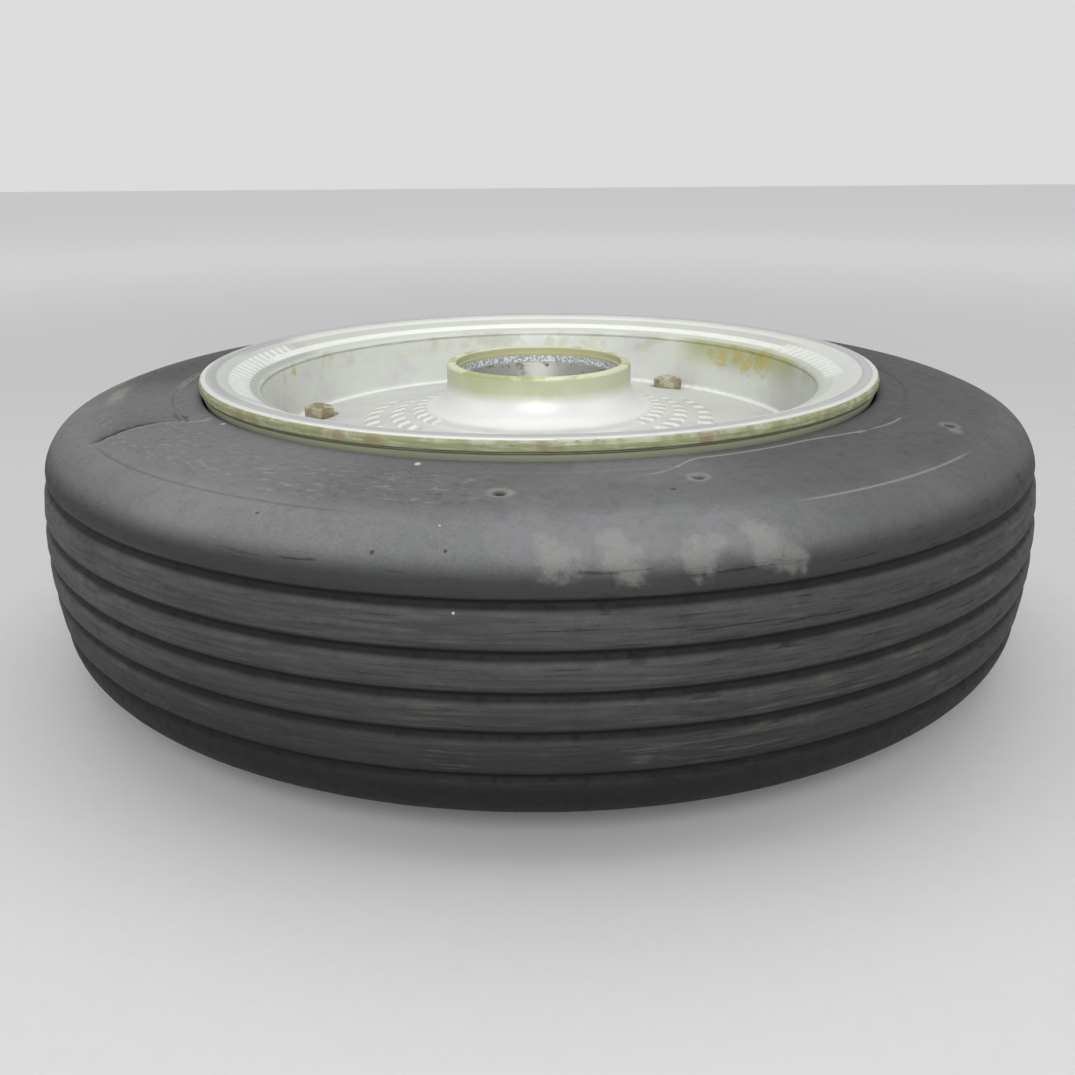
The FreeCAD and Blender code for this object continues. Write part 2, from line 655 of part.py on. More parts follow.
# ---- valve, drawn along Z from the well's surface and then leaned into the dish ----
def valve_pieces():
    hex_top = valve_seat + valve_hex_height
    neck_top = hex_top + valve_neck_length
    stem = ring([(0, valve_thread_start), (valve_thread_radius, valve_thread_start),
                 (valve_thread_radius, hex_top - valve_thread_chamfer), (valve_neck_radius, hex_top),
                 (valve_neck_radius, neck_top - valve_neck_chamfer),
                 (valve_neck_radius - valve_neck_chamfer, neck_top), (0, neck_top)])
    nut = hexagon(valve_hex, valve_seat, hex_top, (hex_top,))
    bore = Part.makeCylinder(valve_bore_radius, neck_top, Z * (valve_thread_start - 1))
    stem = stem.fuse(nut).cut(bore)
    core_top = neck_top - valve_core_depth
    core_low = core_top - valve_core_length
    pin_foot = core_top - valve_pin_length
    body = valve_bore_radius - valve_core_play
    core = ring([(0, core_low), (body - valve_core_tip, core_low), (body, core_low + valve_core_tip_length),
                 (body, pin_foot - valve_thread_chamfer), (body - valve_thread_chamfer, pin_foot),
                 (valve_pin_radius, pin_foot), (valve_pin_radius, core_top), (0, core_top)])
    seal = Part.makeTorus(valve_seal_radius, valve_seal_section / 2 - seal_ring_play,
                          Z * (valve_seat - valve_seal_section / 2), Z)
    cap_low = hex_top + valve_cap_gap
    cap_top = cap_low + valve_cap_length
    cavity = valve_neck_radius + valve_cap_play
    roof = cap_top - valve_cap_wall
    cap = ring([(cavity, cap_low), (valve_cap_radius, cap_low, 0.4),
                (valve_cap_radius, cap_top - valve_cap_crown, 0.5),
                (valve_cap_radius - valve_cap_crown, cap_top, 0.5), (0, cap_top), (0, roof), (cavity, roof)])
    drawn = {"valve_stem": stem, "valve_core": core, "valve_seal": seal, "valve_cap": cap}
    return {name: valve_frame(shape) for name, shape in drawn.items()}


def build():
    os.makedirs("parts", exist_ok=True)
    save("tyre", [tyre()])
    save("outboard_wheel_half", [outboard_half()])
    save("inboard_wheel_half", [inboard_half()])
    save("wheel_seal_ring", [wheel_seal_ring()])
    save("outboard_bearing_cup", [in_hub(bearing_cup(), 1)])
    save("inboard_bearing_cup", [in_hub(bearing_cup(), -1)])
    save("bearing_cone", [in_hub(bearing_cone(), -1)])
    save("bearing_cage", [in_hub(bearing_cage(), -1)])
    save("bearing_rollers", [in_hub(roller, -1) for roller in bearing_rollers()])
    for name, layer in seal_layers().items():
        save(name, [layer])
    save("seal_snap_ring", [snap_ring()])
    for name, pieces in bolt_stack().items():
        bolts = []
        for piece in pieces:
            bolts += round_pattern(placed(piece, shift=X * bolt_circle_radius), bolt_count, first_bolt_angle)
        save(name, bolts)
    for name, piece in valve_pieces().items():
        save(name, [piece])


build()
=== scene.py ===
"""Worn aircraft nose wheel lying on its inboard flange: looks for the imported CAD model.

Run as a script. Each piece has its own operator, and the panel in the 3D view's sidebar lists them.
Lengths are in metres in the CAD model's frame: the wheel's centre is the origin and Z is the axle.
"""

import math

import bmesh
import bpy
from bpy.props import FloatProperty, FloatVectorProperty, IntProperty, PointerProperty
from mathutils import Matrix, Vector, noise


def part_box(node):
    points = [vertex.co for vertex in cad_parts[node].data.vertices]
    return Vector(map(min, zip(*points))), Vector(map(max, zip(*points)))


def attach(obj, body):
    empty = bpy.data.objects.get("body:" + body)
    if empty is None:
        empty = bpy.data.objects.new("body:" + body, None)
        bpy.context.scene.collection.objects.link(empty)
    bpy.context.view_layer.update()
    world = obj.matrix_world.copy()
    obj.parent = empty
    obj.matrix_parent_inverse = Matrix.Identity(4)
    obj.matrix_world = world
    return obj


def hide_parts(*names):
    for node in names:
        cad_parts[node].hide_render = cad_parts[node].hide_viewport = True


bl_info = {
    "name": "Worn nose wheel",
    "version": (1, 0, 0),
    "blender": (4, 5, 0),
    "location": "3D View > Sidebar > Wheel",
    "description": "Tyre, finishes and stage of a worn aircraft nose wheel",
    "category": "Object",
}

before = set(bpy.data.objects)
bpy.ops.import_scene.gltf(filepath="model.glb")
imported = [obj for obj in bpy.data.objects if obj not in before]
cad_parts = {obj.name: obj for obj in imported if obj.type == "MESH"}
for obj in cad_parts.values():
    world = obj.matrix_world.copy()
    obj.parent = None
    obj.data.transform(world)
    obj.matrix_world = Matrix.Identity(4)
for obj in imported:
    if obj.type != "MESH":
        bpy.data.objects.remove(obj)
MM = 0.001
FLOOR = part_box("inboard_wheel_half")[0].z
FLANGE_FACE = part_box("outboard_wheel_half")[1].z
FLANGE_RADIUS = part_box("outboard_wheel_half")[1].x
TREAD_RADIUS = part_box("tyre")[1].x


# ---- properties ----
def length(name, description, default):
    return FloatProperty(name=name, description=description, default=default, unit="LENGTH",
                         subtype="DISTANCE")


def colour(name, description, default):
    return FloatVectorProperty(name=name, description=description, default=default, subtype="COLOR",
                               min=0.0, max=1.0)


class TyreSettings(bpy.types.PropertyGroup):
    tread_radius: length("Tread radius", "Radius over the worn ribs", TREAD_RADIUS - 0.05 * MM)
    half_width: length("Half width", "Half of the section's width", 52.64 * MM)
    groove_width: length("Groove width", "Width of a tread groove", 5.2 * MM)
    groove_depth: length("Groove depth", "What wear has left of a groove", 2.6 * MM)
    crown: length("Crown", "Radius of the tread's curve across the ribs", 170.0 * MM)
    shoulder_line: length("Shoulder line", "Radius of the fine line round the shoulder", 195.8 * MM)
    wear: length("Wear", "How far uneven wear dips into the surface", 0.22 * MM)
    crease: length("Crease", "Depth of the radial crease in the sidewall", 2.4 * MM)
    turn_steps: IntProperty(name="Steps", description="Steps round the tyre", default=320, min=90, max=720)
    rubber: colour("Rubber", "Clean worn rubber low on the tread", (0.030, 0.030, 0.031))
    dust: colour("Dust", "Grey bloom and dust on the shoulder", (0.212, 0.207, 0.214))
    brown_dust: colour("Brown dust", "Earth caught on the ribs", (0.12, 0.112, 0.09))
    green_dust: colour("Green dust", "Greener bloom between the grey", (0.19, 0.203, 0.193))
    smudge: colour("Smudge", "Pale dry smears", (0.33, 0.33, 0.305))


class PaintSettings(bpy.types.PropertyGroup):
    silver: colour("Silver", "Old silver paint", (0.66, 0.68, 0.63))
    lilac: colour("Lilac", "Cooler patches in the paint", (0.60, 0.60, 0.61))
    # painted highlight colour: the highlight streaks on the turning chatter, the line on the corner at the
    # wall's foot and the flange's top corner
    bright: colour("Bright", "Polished crests of the turning marks", (0.90, 0.92, 0.87))
    olive: colour("Olive", "Greasy yellow-green film", (0.36, 0.38, 0.13))
    cream: colour("Cream", "Yellowed edges", (0.74, 0.74, 0.50))
    ochre: colour("Ochre", "Orange-yellow stains", (0.48, 0.40, 0.14))
    rust: colour("Rust", "Brown stains", (0.25, 0.18, 0.07))


class StageSettings(bpy.types.PropertyGroup):
    floor: colour("Floor", "Pale floor and backdrop", (0.72, 0.72, 0.72))
    top_lamp: FloatProperty(name="Top lamp", description="Power of the overhead softbox", default=11.0,
                            unit="POWER")
    front_lamp: FloatProperty(name="Front lamp", description="Power of the softbox above the camera",
                              default=17.0, unit="POWER")
    side_lamp: FloatProperty(name="Side lamp", description="Power of each side softbox", default=3.2,
                             unit="POWER")
    world: FloatProperty(name="World", description="Strength of the even light all round", default=0.22)
    backdrop: FloatProperty(name="Backdrop", description="Brightness of what stands behind", default=0.72)


# ---- node helpers ----
def feed(tree, value, socket):
    """Link a socket, or set a plain number or colour."""
    if isinstance(value, bpy.types.NodeSocket):
        tree.links.new(value, socket)
    else:
        socket.default_value = value


def calc(tree, operation, *values, clamp=False):
    node = tree.nodes.new("ShaderNodeMath")
    node.operation = operation
    node.use_clamp = clamp
    for value, socket in zip(values, node.inputs):
        feed(tree, value, socket)
    return node.outputs[0]


def chain(tree, operation, values):
    """One result from several values, taken in turn."""
    result = values[0]
    for value in values[1:]:
        result = calc(tree, operation, result, value)
    return result


def times(tree, *values):
    return chain(tree, "MULTIPLY", values)


def total(tree, *values):
    return chain(tree, "ADD", values)


def most(tree, *values):
    return chain(tree, "MAXIMUM", values)


def rise(tree, value, low, high, to_low=0.0, to_high=1.0):
    """Smooth step from to_low to to_high as value goes from low to high."""
    node = tree.nodes.new("ShaderNodeMapRange")
    node.interpolation_type = "SMOOTHSTEP"
    for item, socket in zip((value, low, high, to_low, to_high), node.inputs):
        feed(tree, item, socket)
    return node.outputs[0]


def band(tree, value, low, high, soft):
    """1 between low and high, fading to 0 outside over soft."""
    return times(tree, rise(tree, value, low - soft, low), rise(tree, value, high, high + soft, 1.0, 0.0))


def noise_at(tree, vector, scale, detail=3.0, roughness=0.5, distortion=0.0):
    node = tree.nodes.new("ShaderNodeTexNoise")
    feed(tree, vector, node.inputs["Vector"])
    node.inputs["Scale"].default_value = scale
    node.inputs["Detail"].default_value = detail
    node.inputs["Roughness"].default_value = roughness
    node.inputs["Distortion"].default_value = distortion
    return node.outputs["Fac"]


def mix(tree, factor, first, second):
    node = tree.nodes.new("ShaderNodeMix")
    node.data_type = "RGBA"
    feed(tree, factor, node.inputs[0])
    feed(tree, first, node.inputs[6])
    feed(tree, second, node.inputs[7])
    return node.outputs[2]


def combine(tree, x, y, z):
    node = tree.nodes.new("ShaderNodeCombineXYZ")
    for value, socket in zip((x, y, z), node.inputs):
        feed(tree, value, socket)
    return node.outputs[0]


def rgba(colour_value):
    return (*colour_value, 1.0)


def over(tree, base, tint, *masks):
    """Lay a colour over the base as far as the masks' product allows."""
    if not isinstance(tint, bpy.types.NodeSocket):
        tint = rgba(tint)
    return mix(tree, times(tree, *masks), base, tint)


def group(name, inputs, outputs, fill):
    """Shader node group made once. fill takes the tree and the input sockets, and returns the outputs."""
    tree = bpy.data.node_groups.get(name)
    if tree is None:
        tree = bpy.data.node_groups.new(name, "ShaderNodeTree")
        for label, kind, default in inputs:
            socket = tree.interface.new_socket(label, in_out="INPUT", socket_type=kind)
            if default is not None:
                socket.default_value = default
        for label, kind in outputs:
            tree.interface.new_socket(label, in_out="OUTPUT", socket_type=kind)
        entry = tree.nodes.new("NodeGroupInput")
        leave = tree.nodes.new("NodeGroupOutput")
        for value, socket in zip(fill(tree, *entry.outputs[:len(inputs)]), leave.inputs):
            tree.links.new(value, socket)
    return tree


def use_group(tree, made, *values):
    node = tree.nodes.new("ShaderNodeGroup")
    node.node_tree = made
    for value, socket in zip(values, node.inputs):
        feed(tree, value, socket)
    return node.outputs


NUMBER = "NodeSocketFloat"
VECTOR = "NodeSocketVector"


def wheel_place():
    """Radius and height in millimetres, and the direction round the axle, from object coordinates."""
    def fill(tree, place):
        split = tree.nodes.new("ShaderNodeSeparateXYZ")
        tree.links.new(place, split.inputs[0])
        x, y, z = split.outputs
        radius = calc(tree, "SQRT", total(tree, times(tree, x, x), times(tree, y, y)))
        along = combine(tree, calc(tree, "DIVIDE", x, radius), calc(tree, "DIVIDE", y, radius), 0.0)
        angle = calc(tree, "DEGREES", calc(tree, "ARCTAN2", y, x))
        return (times(tree, radius, 1 / MM), times(tree, z, 1 / MM), along, angle)
    return group("wheel_place", [("Place", VECTOR, None)],
                 [("Radius", NUMBER), ("Height", NUMBER), ("Round", VECTOR), ("Angle", NUMBER)], fill)


def turned_grain():
    """Streaks that run round the axle, Reach long and Fine across."""
    def fill(tree, radius, height, along, reach, fine):
        split = tree.nodes.new("ShaderNodeSeparateXYZ")
        tree.links.new(along, split.inputs[0])
        across = times(tree, total(tree, radius, times(tree, height, 0.83)), fine)
        vector = combine(tree, times(tree, split.outputs[0], reach), times(tree, split.outputs[1], reach),
                         across)
        return (noise_at(tree, vector, 1.0, 3.0, 0.6),)
    return group("turned_grain", [("Radius", NUMBER, 0.0), ("Height", NUMBER, 0.0), ("Round", VECTOR, None),
                                  ("Reach", NUMBER, 20.0), ("Fine", NUMBER, 1.0)], [("Grain", NUMBER)], fill)


def blotches():
    """Soft-edged patches: Size in millimetres, Share of the surface that they cover."""
    def fill(tree, place, size, share):
        node = tree.nodes.new("ShaderNodeTexNoise")
        tree.links.new(place, node.inputs["Vector"])
        tree.links.new(calc(tree, "DIVIDE", 1 / MM, size), node.inputs["Scale"])
        node.inputs["Detail"].default_value = 4.0
        node.inputs["Roughness"].default_value = 0.6
        edge = calc(tree, "SUBTRACT", 0.78, times(tree, share, 0.56))
        cover = calc(tree, "DIVIDE", calc(tree, "SUBTRACT", node.outputs["Fac"], edge), 0.12, clamp=True)
        return (cover,)
    return group("blotches", [("Place", VECTOR, None), ("Size", NUMBER, 20.0), ("Share", NUMBER, 0.5)],
                 [("Cover", NUMBER)], fill)


def spot():
    """Patch round a point: At in metres, Size in millimetres, its outline as Ragged as Wobble makes it."""
    def fill(tree, place, at, size, ragged, wobble):
        away = tree.nodes.new("ShaderNodeVectorMath")
        away.operation = "DISTANCE"
        tree.links.new(place, away.inputs[0])
        tree.links.new(at, away.inputs[1])
        share = calc(tree, "DIVIDE", times(tree, away.outputs["Value"], 1 / MM), size)
        share = total(tree, share, times(tree, wobble, ragged))
        return (rise(tree, share, 0.35, 1.25, 1.0, 0.0),)
    return group("spot", [("Place", VECTOR, None), ("At", VECTOR, None), ("Size", NUMBER, 3.0),
                          ("Ragged", NUMBER, 1.5), ("Wobble", NUMBER, 0.0)], [("Cover", NUMBER)], fill)


def comb():
    """Rows of turning chatter: crests every Pitch degrees, bent a little with the radius, where the painted
    highlight streaks are laid.
    """
    def fill(tree, radius, angle, place, pitch, lean):
        wobble = times(tree, calc(tree, "SUBTRACT", noise_at(tree, place, 160.0, 2.0), 0.5), 0.35)
        turn = total(tree, calc(tree, "DIVIDE", angle, pitch), times(tree, radius, lean), wobble)
        wave = calc(tree, "SINE", times(tree, turn, 2 * math.pi))
        return (rise(tree, wave, -0.35, 0.55),)
    return group("comb", [("Radius", NUMBER, 0.0), ("Angle", NUMBER, 0.0), ("Place", VECTOR, None),
                          ("Pitch", NUMBER, 5.0), ("Lean", NUMBER, 0.0)], [("Crest", NUMBER)], fill)


def polar(radius, angle, height):
    """Point in metres from a radius and height in millimetres and an angle in degrees."""
    turn = math.radians(angle)
    return Vector((radius * math.cos(turn), radius * math.sin(turn), height)) * MM


def start_material(name):
    """New material with its Principled shader and the place on the wheel."""
    material = bpy.data.materials.new(name)
    material.use_nodes = True
    tree = material.node_tree
    shader = tree.nodes["Principled BSDF"]
    place = tree.nodes.new("ShaderNodeTexCoord").outputs["Object"]
    return material, tree, shader, place


def bump(tree, shader, height, distance, strength=1.0):
    node = tree.nodes.new("ShaderNodeBump")
    node.inputs["Distance"].default_value = distance
    node.inputs["Strength"].default_value = strength
    tree.links.new(height, node.inputs["Height"])
    tree.links.new(node.outputs[0], shader.inputs["Normal"])


# ---- materials ----
class Zones:
    """Masks by radius, height and depth in millimetres and by direction round the axle in degrees."""

    def __init__(self, tree, place):
        self.tree = tree
        self.place = place
        self.radius, self.height, self.along, self.angle = use_group(tree, wheel_place(), place)
        self.full_turn = calc(tree, "FLOORED_MODULO", self.angle, 360.0)
        self.level = calc(tree, "ABSOLUTE", self.height)
        self.depth = calc(tree, "SUBTRACT", FLANGE_FACE / MM, self.level)
        self.wobble = calc(tree, "SUBTRACT", noise_at(tree, place, 260.0, 3.0), 0.5)

    def ring(self, low, high, soft):
        return band(self.tree, self.radius, low, high, soft)

    def turn(self, low, high, soft):
        return band(self.tree, self.angle, low, high, soft)

    def left_turn(self, low, high, soft):
        """Directions from 0 to 360, for a mask that crosses the left of the wheel."""
        return band(self.tree, self.full_turn, low, high, soft)

    def deep(self, low, high, soft):
        return band(self.tree, self.depth, low, high, soft)

    def fade(self, value, low, high):
        """1 below low, 0 above high."""
        return rise(self.tree, value, low, high, 1.0, 0.0)

    def grain(self, reach, fine):
        return use_group(self.tree, turned_grain(), self.radius, self.height, self.along, reach, fine)[0]

    def patches(self, size, share):
        return use_group(self.tree, blotches(), self.place, size, share)[0]

    def crests(self, pitch, lean):
        return use_group(self.tree, comb(), self.radius, self.angle, self.place, pitch, lean)[0]

    def spots(self, marks, ragged):
        """Strongest cover of several (radius, angle, height, size) spots."""
        covers = [use_group(self.tree, spot(), self.place, polar(*at), size, ragged, self.wobble)[0]
                  for *at, size in marks]
        return most(self.tree, *covers)


# spots: radius, direction, height and size. Long cracks: height, first and last direction.
# Lengths are in millimetres and directions in degrees.
OCHRE_SPOTS = ((123.3, 39.0, 48.7, 6.0), (123.3, 34.0, 49.2, 4.0), (122.8, 30.0, 46.3, 4.5),
               (124.0, 16.0, 53.0, 2.5), (123.4, 164.6, 49.4, 2.5), (123.6, 24.0, 50.0, 7.0))
NUT_CRUST = ((105.4, 50.0, 29.9, 9.5), (105.4, 170.0, 29.9, 9.5), (105.4, 290.0, 29.9, 9.5),
             (112.0, 52.0, 33.0, 6.0))
EDGE_RUST = ((149.2, -139.0, 58.6, 4.0), (149.2, -135.0, 58.6, 3.5), (149.2, -118.0, 58.6, 3.5),
             (149.2, -112.5, 58.6, 4.5), (149.2, -90.0, 58.6, 3.5), (149.2, -68.0, 58.6, 3.5),
             (149.2, -45.0, 58.6, 3.0), (149.2, 30.0, 58.6, 4.0))
LONG_CRACKS = ((37.6, -87.0, -82.0), (35.5, -78.0, -69.0), (38.3, -111.3, -109.0),
               (19.5, -78.0, -70.0), (18.0, -70.0, -64.0), (21.0, -90.0, -86.0))
SMEARS = ((208.2, -88.6, 41.2, 7.0), (204.9, -89.4, 44.6, 5.0), (207.7, -83.7, 41.7, 6.5),
          (203.8, -84.3, 45.5, 5.0), (210.4, -83.0, 37.3, 5.0), (208.8, -77.2, 40.4, 6.5),
          (206.6, -75.9, 42.5, 4.5), (208.9, -71.2, 40.2, 7.0), (204.8, -72.0, 44.8, 5.0),
          (210.3, -69.2, 37.0, 5.0), (174.0, -73.5, 52.8, 3.0), (180.5, -92.8, 52.4, 2.5),
          (185.0, -34.0, 51.9, 3.0))
CHIPS = ((154.9, -105.2, 53.1, 1.3), (151.6, -142.4, 53.1, 1.5),
         (212.5, -96.9, 26.0, 0.5), (199.0, -98.6, 47.8, 0.4))
PITS = ((207.9, -103.7, 41.5, 0.9), (206.8, -97.7, 42.8, 0.6),
        (200.9, -115.6, 47.0, 0.8), (181.7, -77.0, 52.5, 1.2))


def cloudy_silver(tree, zone, settings, grain):
    """Base coat with the cooler and greener zones of the lip, plus painted light: a painted highlight band on
    the lip's fall, a painted shade band at the back, painted shade on the right wall, and a darker painted
    ground under the highlight streaks at the left.
    """
    worn, cool, line_grey = (0.52, 0.53, 0.50), (0.42, 0.42, 0.44), (0.36, 0.36, 0.36)
    greenish, dull, shaded = (0.53, 0.58, 0.48), (0.36, 0.38, 0.36), (0.45, 0.47, 0.42)
    fall, back_dip = (0.74, 0.77, 0.71), (0.53, 0.54, 0.47)
    base = mix(tree, zone.patches(34.0, 0.5), rgba(settings.silver), rgba(settings.lilac))
    base = over(tree, base, worn, rise(tree, grain, 0.3, 0.75, 0.0, 0.2))
    base = over(tree, base, cool, zone.ring(142.3, 147.6, 0.8), 0.7)
    base = over(tree, base, line_grey, zone.ring(141.9, 142.6, 0.5), 0.45)
    base = over(tree, base, greenish, zone.ring(125.5, 130.0, 1.5), 0.5)
    # painted reflection: a darker ground on the left of the lip, under the painted highlight streaks
    base = over(tree, base, dull, zone.ring(126.0, 144.0, 2.0), zone.left_turn(158.0, 212.0, 8.0), 0.75)
    # painted shade on the right wall of the dish
    base = over(tree, base, shaded, zone.ring(116.0, 126.0, 1.5), zone.turn(-60.0, 12.0, 14.0), 0.35)
    # painted highlight: the lip's fall paler away from the back; painted shade: a darker band on it at the
    # back
    at_back = zone.turn(25.0, 165.0, 15.0)
    base = over(tree, base, fall, zone.ring(131.0, 141.0, 1.5), rise(tree, at_back, 0.0, 1.0, 0.45, 0.0))
    return over(tree, base, back_dip, zone.ring(132.5, 136.0, 1.0), at_back, 0.6), at_back


def painted_chatter_highlights(tree, zone, settings, base, fine, at_back):
    """Painted highlights: streaks along the turning chatter on the lip's fall and the dish's ring steps,
    lines at the back of the lip, and a line on the corner at the wall's foot.
    """
    step_grey = (0.50, 0.51, 0.47)
    lip = most(tree, times(tree, zone.ring(129.0, 136.3, 1.0), zone.left_turn(160.0, 208.0, 5.0)),
               times(tree, zone.ring(128.0, 134.0, 1.0), zone.turn(-8.0, 20.0, 4.0)))
    lip = times(tree, lip, calc(tree, "ADD", 0.4, times(tree, zone.crests(2.5, 0.05), 0.6)))
    steps = most(tree, zone.ring(73.8, 79.6, 0.8), zone.ring(62.6, 67.8, 0.8), zone.ring(53.0, 57.6, 0.8))
    sides = most(tree, zone.left_turn(160.0, 214.0, 6.0), zone.turn(-36.0, 20.0, 6.0))
    # painted reflection: a darker ground on the ring steps, under the highlight streaks
    base = over(tree, base, step_grey, steps, sides, 0.6)
    steps = times(tree, steps, sides, zone.crests(8.0, -0.05))
    # painted highlight lines at the back of the lip
    back_line = most(tree, times(tree, zone.ring(137.3, 138.8, 1.0), 0.4), zone.ring(128.8, 131.4, 1.2))
    marks = most(tree, lip, steps, times(tree, back_line, at_back))
    crests = times(tree, marks, rise(tree, fine, 0.10, 0.40))
    # painted highlight streaks along the chatter
    base = over(tree, base, settings.bright, crests, 0.95)
    # painted highlight on the corner at the wall's foot
    foot = times(tree, zone.ring(117.6, 119.6, 0.4), rise(tree, zone.depth, 28.0, 30.0))
    return over(tree, base, settings.bright, foot, rise(tree, fine, 0.3, 0.5), 0.7), crests


def greasy_film(tree, zone, settings, base, grain, specks, stains):
    """Olive film on the hub's side, under the lip and on the right wall, a painted highlight on the hub's
    flare below it, and a dark line where the lip turns down into the wall.
    """
    flare_highlight, hub_olive, corner = (0.84, 0.84, 0.83), (0.50, 0.54, 0.19), (0.12, 0.12, 0.07)
    uneven = rise(tree, stains, 0.0, 1.0, 0.7, 1.0)
    hub_film = times(tree, zone.ring(39.5, 46.0, 1.5), zone.fade(zone.depth, 6.0, 14.0),
                     rise(tree, specks, 0.0, 1.0, 0.75, 1.0))
    # painted highlight on the hub's flare
    base = over(tree, base, flare_highlight, zone.ring(40.5, 50.0, 3.0), rise(tree, zone.depth, 7.0, 13.0), 0.75)
    base = over(tree, base, hub_olive, hub_film, 0.8, uneven)
    under_lip = times(tree, zone.ring(120.5, 124.6, 1.2), zone.deep(7.5, 13.0, 5.0), 0.3, stains)
    right_wall = times(tree, zone.ring(119.0, 124.6, 1.5), zone.turn(14.0, 46.0, 9.0),
                       zone.fade(zone.depth, 9.0, 24.0))
    film = most(tree, under_lip, right_wall)
    base = over(tree, base, settings.olive, film, uneven)
    ochre = zone.spots(OCHRE_SPOTS, 3.2)
    base = over(tree, base, settings.ochre, ochre, 0.75)
    base = over(tree, base, corner, zone.ring(123.9, 124.2, 0.3), zone.deep(8.2, 9.0, 0.3), grain, 0.8)
    return base, film, ochre


def hub_mouth(tree, zone, settings, base, stains):
    """Cream face of the hub, olive counterbore and bare scratched metal above the bearing cup."""
    bore_olive, metal, scratched = (0.56, 0.56, 0.34), (0.42, 0.46, 0.50), (0.92, 0.94, 0.95)
    face = mix(tree, stains, rgba(settings.cream), rgba(settings.olive))
    base = over(tree, base, face, zone.ring(37.6, 41.9, 0.3), zone.fade(zone.depth, 1.6, 2.4), 0.75)
    inside = zone.fade(zone.radius, 38.0, 38.3)
    base = over(tree, base, bore_olive, inside, zone.deep(1.2, 5.0, 0.2))
    bare = times(tree, inside, zone.deep(5.2, 12.0, 0.2))
    scratch = rise(tree, zone.grain(26.0, 1.3), 0.47, 0.56)
    return over(tree, base, mix(tree, scratch, rgba(metal), rgba(scratched)), bare), bare


def flange_edge(tree, zone, settings, base, grain):
    """Olive and rust above the step, plain olive below it, painted shade as a dark line at the step, and a
    painted highlight on the top corner.
    """
    light_olive, deep_olive, dirt = (0.44, 0.46, 0.30), (0.27, 0.29, 0.11), (0.20, 0.20, 0.09)
    below, gap = (0.29, 0.31, 0.20), (0.05, 0.045, 0.03)
    below_step = times(tree, rise(tree, zone.radius, 143.0, 144.0), rise(tree, zone.depth, 4.9, 5.3))
    outer = most(tree, rise(tree, zone.radius, 147.6, 148.5), below_step)
    edge = times(tree, outer, rise(tree, zone.depth, 0.25, 0.7), zone.fade(zone.depth, 14.0, 16.0))
    shade = mix(tree, rise(tree, grain, 0.42, 0.62), rgba(deep_olive), rgba(light_olive))
    shade = over(tree, shade, dirt, zone.patches(5.0, 0.5), 0.5)
    streaks = times(tree, rise(tree, zone.grain(9.0, 0.25), 0.56, 0.70), 0.7)
    rusty = most(tree, zone.spots(EDGE_RUST, 2.2), streaks)
    shade = over(tree, shade, settings.rust, rusty, rise(tree, grain, 0.30, 0.60, 0.3, 0.8))
    shade = over(tree, shade, below, rise(tree, zone.depth, 5.4, 6.0))
    base = over(tree, base, shade, edge, 0.88)
    # painted shade: the dark line at the step
    base = over(tree, base, gap, edge, zone.deep(4.9, 5.5, 0.4), 0.85)
    # painted highlight on the top corner's rounding, across the front
    corner = times(tree, zone.ring(146.6, 148.3, 0.4), zone.fade(zone.depth, 0.3, 0.6))
    return over(tree, base, settings.bright, corner, zone.turn(-175.0, -5.0, 8.0), 0.5), edge


def silver_paint(settings):
    """Old silver paint: cloudy, with greasy film, turning chatter and a stained flange edge, and painted
    highlights and painted shade on the lip, the walls, the hub's flare and the flange edge.
    """
    crust_brown = (0.33, 0.30, 0.18)
    material, tree, shader, place = start_material("aged_silver_paint")
    zone = Zones(tree, place)
    grain = zone.grain(14.0, 1.6)
    fine = zone.grain(60.0, 4.0)
    specks = zone.patches(2.6, 0.35)
    stains = zone.patches(16.0, 0.5)
    base, at_back = cloudy_silver(tree, zone, settings, grain)
    base, crests = painted_chatter_highlights(tree, zone, settings, base, fine, at_back)
    base, film, ochre = greasy_film(tree, zone, settings, base, grain, specks, stains)
    base, bare = hub_mouth(tree, zone, settings, base, stains)
    crust = times(tree, zone.spots(NUT_CRUST, 1.6), rise(tree, specks, 0.0, 1.0, 0.5, 1.0))
    base = over(tree, base, crust_brown, crust, 0.7)
    base, edge = flange_edge(tree, zone, settings, base, grain)
    tree.links.new(base, shader.inputs["Base Color"])
    tree.links.new(total(tree, 0.12, times(tree, bare, 0.2)), shader.inputs["Metallic"])
    gloss = calc(tree, "SUBTRACT", total(tree, 0.33, times(tree, grain, 0.16)), times(tree, crests, 0.12))
    rough = total(tree, gloss, times(tree, most(tree, film, edge, crust), 0.3))
    tree.links.new(rough, shader.inputs["Roughness"])
    relief = total(tree, times(tree, crests, 0.35), times(tree, fine, 0.10), times(tree, specks, 0.05),
                   times(tree, total(tree, crust, ochre), specks, 0.5))
    bump(tree, shader, relief, 0.3 * MM, 0.6)
    return material


